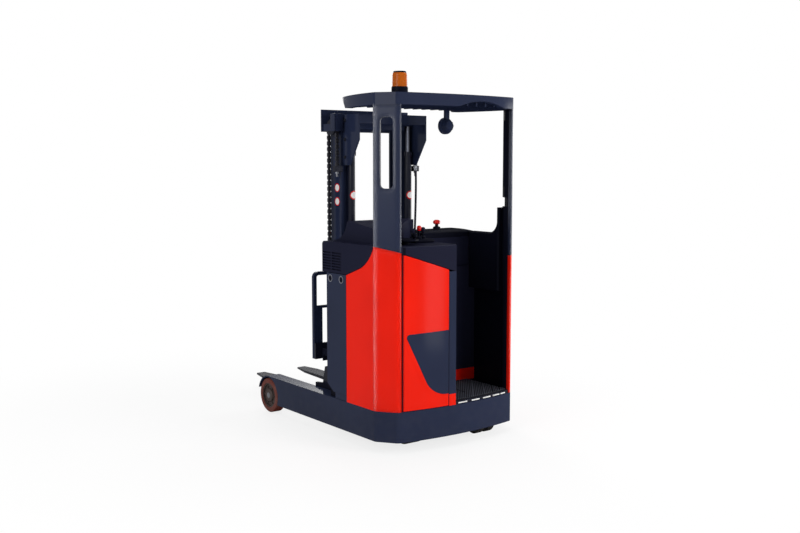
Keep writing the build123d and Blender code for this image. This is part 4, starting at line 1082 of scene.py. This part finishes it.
@dataclass
class WorkLamp(SubAssembly):
    """The work lamp under the roof, which looks forward: a faceted bowl, a rim with its glass, and a neck."""

    facets: int = 8
    back_radius: float = 0.026
    neck: tuple[float, float] = (0.036, 0.024)

    def build(self) -> None:
        """Build the lamp in the place of its plain solid."""
        low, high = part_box("work_lamp")
        r, depth = (high.x - low.x) / 2, high.y - low.y
        centre = Vector(((low.x + high.x) / 2, low.y, low.z + r))
        back = self.back_radius
        bowl = [
            (0, 0), (back, 0), (back + 0.008, 0.005), (0.90 * r, 0.55 * depth), (0.90 * r, 0.9 * depth),
            (0, 0.9 * depth),
        ]
        form = Form().turned(bowl, centre, Axis.Y, self.facets)
        rim = [
            (0.80 * r, 0.60 * depth), (0.97 * r, 0.60 * depth), (r, 0.66 * depth), (r, 0.96 * depth),
            (0.96 * r, depth), (0.86 * r, depth), (0.80 * r, 0.92 * depth), (0.80 * r, 0.60 * depth),
        ]
        form.turned(rim, centre, Axis.Y)
        (wide, thick), middle = self.neck, centre.y + 0.6 * depth
        form.slab(
            (centre.x - wide / 2, middle - thick / 2, centre.z + 0.8 * r),
            (centre.x + wide / 2, middle + thick / 2, high.z), 0.004,
        )
        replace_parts(self.add(form, "work_lamp_bowl", Body.CHASSIS, "charcoal_paint", 30), "work_lamp")
        glass = [
            (0, 0.90 * depth), (0.82 * r, 0.90 * depth), (0.82 * r, 0.93 * depth), (0.45 * r, 0.97 * depth),
            (0, 0.98 * depth),
        ]
        self.add(Form().turned(glass, centre, Axis.Y), "work_lamp_glass", Body.CHASSIS, "lamp_glass")


@dataclass
class MastTrim(SubAssembly):
    """Blank sign discs, sheave guards, bolts and the hydraulic pipe of the mast."""

    web_x: float = -0.306
    disc_radius: float = 0.030
    disc_proud: float = 0.0010
    disc_thick: float = 0.0012
    disc_step: float = 0.005
    rim_share: float = 0.77
    web_discs: tuple[tuple[float, float], ...] = ((0.790, 1.650), (0.790, 1.555))
    barrel_y: float = 0.705
    barrel_radius: float = 0.025
    barrel_discs: tuple[Point, ...] = ((-0.245, 10.0, 1.600), (0.245, 8.0, 1.592))
    pipe: tuple[Point, ...] = (
        (0.285, 0.668, 1.800), (0.285, 0.655, 1.700), (0.250, 0.648, 1.000), (0.215, 0.640, 0.420),
        (0.215, 0.640, 0.305),
    )
    pipe_radius: float = 0.008
    guard_x: tuple[float, float] = (0.306, 0.374)
    guard_y: tuple[float, float] = (0.712, 0.770)
    guard_thick: float = 0.004
    guard_top: float = 2.155
    bolt: float = 0.018
    head_bolt_x: tuple[float, ...] = (0.215, 0.350)
    head_bolt_inset: float = 0.03
    yoke_bolt: tuple[float, float] = (0.290, 0.715)
    yoke_bolt_z: tuple[float, ...] = (1.86, 1.98, 2.11)

    def build(self) -> None:
        """Build the mast's trim."""
        self.sign_discs()
        self.sheave_guards()
        self.bolts()
        self.hydraulic_pipe()

    def sign_discs(self) -> None:
        """Add blank white discs with red rims to the left upright and the cylinders."""
        proud, thick, step = self.disc_proud, self.disc_thick, self.disc_step
        places = [(web_skin(self.web_x, y, proud), z) for y, z in self.web_discs]
        for x, facing, z in self.barrel_discs:
            places.append((barrel_skin((x, self.barrel_y), self.barrel_radius, facing, proud), z))
        outer, inner = self.disc_radius, self.rim_share * self.disc_radius
        faces, rims = Form(), Form()
        for bend, z in places:
            faces.take(Form().disc(inner, 0.0, z).wrap(bend, thick, step))
            rims.take(Form().disc(outer, inner, z).wrap(bend, thick, step))
        self.add(faces, "sign_discs", Body.REACH, "white_paint")
        self.add(rims, "sign_rims", Body.REACH, "signal_red")

    def sheave_guards(self) -> None:
        """Add the folded plates that cover the sheaves from behind and from the side."""
        form = Form()
        low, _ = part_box("head_plate")
        (inner, outer), (rear, front), thick = self.guard_x, self.guard_y, self.guard_thick
        plates = ((inner, outer, rear + thick), (outer - thick, outer, front))
        for side in (-1, 1):
            for start, end, reach in plates:
                left, right = sorted((side * start, side * end))
                form.slab(at(left, rear, low.z), at(right, reach, self.guard_top), 0.001)
        self.add(form, "sheave_guards", Body.INNER_MAST, "charcoal_paint")

    def bolts(self) -> None:
        """Add bolt heads to the head plate and the yoke."""
        head, yoke = Form(), Form()
        low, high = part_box("head_plate")
        for side, axis in ((-1, Axis.MINUS_X), (1, Axis.X)):
            for x in self.head_bolt_x:
                for z in (low.z + self.head_bolt_inset, high.z - self.head_bolt_inset):
                    head.bolt(Vector((side * x, high.y, z)), Axis.Y, self.bolt)
            for z in self.yoke_bolt_z:
                yoke.bolt(at(side * self.yoke_bolt[0], self.yoke_bolt[1], z), axis, self.bolt)
        self.add(head, "head_plate_bolts", Body.INNER_MAST, "cast_dark")
        self.add(yoke, "yoke_bolts", Body.REACH, "cast_dark")

    def hydraulic_pipe(self) -> None:
        """Add the steel pipe that runs down behind the right cylinder, with the fitting at its top."""
        curve = bpy.data.curves.new("pipe_path", "CURVE")
        curve.dimensions = "3D"
        curve.bevel_depth = self.pipe_radius
        curve.bevel_resolution = 4
        curve.use_fill_caps = True
        spline = curve.splines.new("NURBS")
        spline.points.add(len(self.pipe) - 1)
        for point, place in zip(spline.points, self.pipe):
            point.co = (*at(*place), 1.0)
        spline.order_u = 3
        spline.use_endpoint_u = True
        holder = bpy.data.objects.new("pipe_path", curve)
        mesh = bpy.data.meshes.new_from_object(holder)
        bpy.data.objects.remove(holder)
        form = Form().stamp(mesh, Matrix.Identity(4))
        bpy.data.meshes.remove(mesh)
        self.add(form, "hydraulic_pipe", Body.REACH, "cast_dark")
        fitting = [
            (0, -0.036), (0.011, -0.036), (0.013, -0.032), (0.013, -0.012), (0.010, -0.008), (0.010, 0.004),
            (0, 0.004),
        ]
        top = Form().turned(fitting, at(*self.pipe[0]), Axis.Z, 6)
        self.add(top, "pipe_fitting", Body.REACH, "bright_steel", 20)


@dataclass
class WheelTrim(SubAssembly):
    """The bright cap and the bolts on each load wheel's hub."""

    axle: tuple[float, float] = (1.326, 0.125)
    bolts: int = 6
    bolt_circle: float = 0.064
    bolt: float = 0.015
    dish: float = 0.016

    def build(self) -> None:
        """Build both wheels' trim."""
        self.wheel("left", -1, Body.LOAD_LEFT, Axis.MINUS_X)
        self.wheel("right", 1, Body.LOAD_RIGHT, Axis.X)

    def wheel(self, name: str, side: int, body: Body, axis: Axis) -> None:
        """Add the bolts and the cap of one wheel.

        Args:
            name: The wheel's side in words.
            side: -1 on the left and 1 on the right.
            body: The wheel's body.
            axis: The way out.
        """
        low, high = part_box(f"load_hub_{name}")
        face = low.x if side < 0 else high.x
        heads = Form()
        for i in range(self.bolts):
            angle = math.tau * i / self.bolts
            y = self.axle[0] + self.bolt_circle * math.cos(angle)
            z = self.axle[1] + self.bolt_circle * math.sin(angle)
            heads.bolt(at(face - side * self.dish, y, z), axis, self.bolt)
        self.add(heads, f"hub_bolts_{name}", body, "hub_metal")
        cap = [(0, 0.0015), (0.010, 0.0015), (0.020, 0.0004), (0.024, -0.0040), (0.024, -0.008), (0, -0.008)]
        self.add(Form().turned(cap, at(face, *self.axle), axis), f"hub_cap_{name}", body, "bright_steel")


@dataclass
class LiftChains(SubAssembly):
    """Leaf chains: a run up from the anchor, the turn over the sheave and a run down to the carriage."""

    x: float = 0.340
    width: float = 0.024
    thick: float = 0.017
    pitch: float = 0.0195
    leaf: float = 0.0035
    outer_leaves: tuple[float, ...] = (-0.85, 0.0, 0.85)
    inner_leaves: tuple[float, ...] = (-0.42, 0.42)
    corner: float = 0.0050
    pin: float = 0.0036
    sheave: tuple[float, float] = (0.790, 2.062)
    radius: float = 0.040
    play: float = 0.001
    anchor_z: float = 1.800
    anchor_x: tuple[float, float] = (0.306, 0.358)
    anchor_half: float = 0.023
    anchor_tall: float = 0.040
    carriage_z: float = 0.500

    def build(self) -> None:
        """Build the runs between the anchor, the sheave and the carriage, and the turn over the sheave."""
        links = (self.link(self.outer_leaves), self.link(self.inner_leaves))
        y, z = self.sheave
        reach = self.radius + self.thick / 2 + self.play
        rear = self.run(links, y - reach, self.anchor_z, z).done("rear_chain_run")
        front = self.run(links, y + reach, self.carriage_z, z).done("front_chain_run")
        for obj in (rear, front):
            self.palette.dress_piece(obj, "chain_steel")
            log.info("piece %s stretches with the lift", obj.name)
        at(0, y, self.anchor_z)
        at(0, y, z)
        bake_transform(rear)
        at(0, y, z)
        at(0, y, self.carriage_z)
        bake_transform(front)
        turned = self.add(self.over(links, y, z, reach), "chain_over_sheaves", Body.INNER_MAST, "chain_steel")
        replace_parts(turned, "lift_chains")
        self.anchors(y - reach)
        for mesh in links:
            bpy.data.meshes.remove(mesh)

    def link(self, leaves: tuple[float, ...]) -> bpy.types.Mesh:
        """Return one link: its leaves with cut corners, and the pin at its upper end.

        Args:
            leaves: Where each leaf is across the chain, from -1 to 1.

        Returns:
            The mesh, with the link's middle at the origin.
        """
        form = Form()
        half, long, groove_shade_colour = self.width / 2, self.pitch / 2 + self.corner, self.thick / 2
        for place in leaves:
            x = place * half
            form.slab((x - self.leaf / 2, -groove_shade_colour, -long), (x + self.leaf / 2, groove_shade_colour, long))
        corners = [edge for edge in form.bm.edges if abs(edge.verts[0].co.x - edge.verts[1].co.x) > 1e-4]
        form.round(corners, self.corner, 1)
        pin = [(0, -half), (self.pin, -half), (self.pin, half), (0, half)]
        return form.turned(pin, Vector((0, 0, self.pitch / 2)), Axis.X, 6).mesh("chain_link")

    def run(self, links: Links, y: float, low: float, high: float) -> Form:
        """Return both sides' straight runs of links between two heights.

        Args:
            links: The two kinds of link, which alternate.
            y: The run's place forward of the side seam.
            low: Its lower end.
            high: Its upper end.

        Returns:
            The links.
        """
        form = Form()
        count = max(1, round((high - low) / self.pitch))
        for side in (-1, 1):
            for i in range(count):
                place = at(side * self.x, y, low + (i + 0.5) * (high - low) / count)
                form.stamp(links[i % 2], Matrix.Translation(place))
        return form

    def over(self, links: Links, y: float, z: float, reach: float) -> Form:
        """Return both sides' links on the half turn over a sheave.

        Args:
            links: The two kinds of link, which alternate.
            y: The sheave's place forward of the side seam.
            z: Its height.
            reach: The radius of the chain's middle.

        Returns:
            The links.
        """
        form = Form()
        count = max(3, round(math.pi * reach / self.pitch))
        for side in (-1, 1):
            for i in range(count):
                angle = math.pi * (i + 0.5) / count
                place = at(side * self.x, y - reach * math.cos(angle), z + reach * math.sin(angle))
                form.stamp(links[i % 2], Matrix.Translation(place) @ Matrix.Rotation(-angle, 4, "X"))
        return form

    def anchors(self, y: float) -> None:
        """Add the anchor blocks with their threaded ends and nuts.

        Args:
            y: Their place forward of the side seam.
        """
        blocks, nuts = Form(), Form()
        for side in (-1, 1):
            left, right = sorted(side * x for x in self.anchor_x)
            bottom = self.anchor_z - self.anchor_tall
            low, high = at(left, y - self.anchor_half, bottom), at(right, y + self.anchor_half, self.anchor_z)
            blocks.slab(low, high, 0.003)
            foot = at(side * self.x, y, bottom)
            nuts.turned([(0, 0), (0.013, 0), (0.013, -0.012), (0, -0.012)], foot, Axis.Z, 6)
            thread = [(0, -0.010), (0.008, -0.010), (0.008, -0.033), (0.006, -0.035), (0, -0.035)]
            nuts.turned(thread, foot, Axis.Z, 16)
        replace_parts(self.add(blocks, "chain_anchors", Body.REACH, "cast_dark"), "fixed_chains")
        self.add(nuts, "chain_anchor_nuts", Body.REACH, "bright_steel", 25)


class Shows(Enum):
    """Where a lamp shows: in the light on the faces, and in what mirrors it."""

    BOTH = (True, True)
    LIGHT = (True, False)
    MIRRORED = (False, True)


@dataclass(frozen=True)
class Lamp:
    """One soft area lamp: where it is, what it points at, its width and height, and its power in watts.

    A lamp that names solids in lit shines on those alone.
    """

    name: str
    place: Point
    target: Point
    size: tuple[float, float]
    power: float
    shows: Shows = Shows.BOTH
    lit: tuple[str, ...] = ()

    def build(self) -> None:
        """Add the lamp to the scene."""
        data = bpy.data.lights.new(self.name, "AREA")
        data.shape = "RECTANGLE"
        data.size, data.size_y = self.size
        data.energy = self.power
        lamp = bpy.data.objects.new(self.name, data)
        lamp.location = self.place
        lamp.rotation_euler = (Vector(self.target) - Vector(self.place)).to_track_quat("-Z", "Y").to_euler()
        lamp.visible_camera = False
        lamp.visible_diffuse, lamp.visible_glossy = self.shows.value
        if self.lit:
            group = bpy.data.collections.new(self.name)
            for node in self.lit:
                group.objects.link(frame["nodes"][node])
            lamp.light_linking.receiver_collection = group
        bpy.context.scene.collection.objects.link(lamp)


@dataclass
class Studio:
    """Floor, light and camera."""

    eye: Point = (-4.238, -6.081, 1.8254)
    yaw: float = 37.13
    pitch: float = -5.83
    lens: float = 45.95
    ambient: float = 0.25
    floor_size: float = 60.0
    floor_grey: float = 0.86
    floor_rough: float = 0.7
    floor_white: float = 0.80
    floor_fade: tuple[float, float] = (1.2, 3.5)
    lamps: tuple[Lamp, ...] = (
        Lamp("key", (2.4, -6.0, 2.6), (0.0, -0.8, 0.9), (3.0, 2.6), 240.0, Shows.LIGHT),
        Lamp("left", (-5.0, -1.6, 3.0), (0.0, -0.3, 0.9), (3.0, 3.0), 120.0),
        Lamp("top", (0.0, -0.5, 6.0), (0.0, 0.0, 0.0), (5.0, 5.0), 100.0),
        Lamp("front", (2.5, 6.5, 3.5), (0.0, 0.0, 1.0), (3.0, 3.0), 260.0),
        Lamp("right", (6.0, 0.5, 3.0), (0.0, 0.0, 1.0), (3.0, 3.0), 140.0),
        Lamp("corner_strip", (-1.486, -0.218, 1.2), (-0.55, -0.95, 1.2), (0.33, 2.36), 80.0, Shows.MIRRORED,
             tuple(BENT)),
        Lamp("corner_glow", (-1.667, -0.60, 1.2), (-0.55, -0.95, 1.2), (0.52, 2.36), 34.0, Shows.MIRRORED,
             tuple(BENT)),
        Lamp("edge_strip", (3.42, -1.94, 1.2), (-0.44, -1.1, 1.2), (1.3, 2.36), 150.0, Shows.MIRRORED),
        Lamp("door_strip", (1.4, -4.2, 0.65), (-0.2, -1.13, 0.65), (0.6, 1.25), 8.0, Shows.MIRRORED),
        Lamp("rim_strip", (2.1, -1.6, 4.5), (-0.25, -1.1, 1.31), (1.6, 1.2), 110.0, Shows.MIRRORED),
    )

    def build(self) -> None:
        """Build the studio."""
        self.world()
        self.floor()
        for lamp in self.lamps:
            lamp.build()
        self.camera()
        bpy.context.scene.view_settings.view_transform = "Standard"

    def world(self) -> None:
        """Light the scene softly, and show white behind it."""
        world = bpy.data.worlds.new("studio_world")
        world.use_nodes = True
        bpy.context.scene.world = world
        nodes = Nodes(world.node_tree)
        background = world.node_tree.nodes["Background"]
        nodes.feed(background.inputs["Color"], (1.0, 1.0, 1.0, 1.0))
        nodes.feed(background.inputs["Strength"], nodes.seen() * (1.0 - self.ambient) + self.ambient)

    def floor(self) -> None:
        """Add a pale floor that keeps the shadow and turns white far from the truck."""
        form = Form()
        bmesh.ops.create_grid(form.bm, x_segments=1, y_segments=1, size=self.floor_size)
        floor = form.done("studio_floor")
        graph = Graph("floor_pale")
        graph.set("Base Color", rgba((self.floor_grey,) * 3))
        graph.set("Roughness", self.floor_rough)
        graph.set("Specular IOR Level", 0.0)
        reach = graph.node("ShaderNodeVectorMath", {"operation": "LENGTH"}, {0: graph.place})
        far = Value(graph, reach.outputs["Value"]).ramp(*self.floor_fade)
        share = graph.seen() * (far * (1.0 - self.floor_white) + self.floor_white)
        white = graph.node("ShaderNodeEmission", None, {"Color": (1.0, 1.0, 1.0, 1.0), "Strength": 1.0})
        shaders = {0: share, 1: graph.shader.outputs[0], 2: white.outputs[0]}
        mixed = graph.node("ShaderNodeMixShader", None, shaders)
        graph.feed(graph.tree.nodes["Material Output"].inputs["Surface"], mixed.outputs[0])
        floor.data.materials.append(graph.material)

    def camera(self) -> None:
        """Add the camera at the photograph's place."""
        data = bpy.data.cameras.new("photo_camera")
        data.sensor_width = 36.0
        data.lens = self.lens
        camera = bpy.data.objects.new("photo_camera", data)
        yaw, pitch = math.radians(self.yaw), math.radians(self.pitch)
        look = Vector((math.sin(yaw) * math.cos(pitch), math.cos(yaw) * math.cos(pitch), math.sin(pitch)))
        camera.location = self.eye
        camera.rotation_euler = look.to_track_quat("-Z", "Y").to_euler()
        bpy.context.scene.collection.objects.link(camera)
        bpy.context.scene.camera = camera


def main() -> None:
    """Dress the solids, build every sub-assembly and set up the studio."""
    logging.basicConfig(level=logging.INFO, format="%(name)s: %(message)s")
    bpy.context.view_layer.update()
    palette = Palette(FINISHES)
    palette.dress_solids()
    parts = (
        BodyTrim, Platform, ServiceDoor, Controls, Beacon, WorkLamp, MastTrim, WheelTrim, LiftChains
    )
    for part in parts:
        part(palette).build()
    Studio().build()


if __name__ == "__main__":
    main()
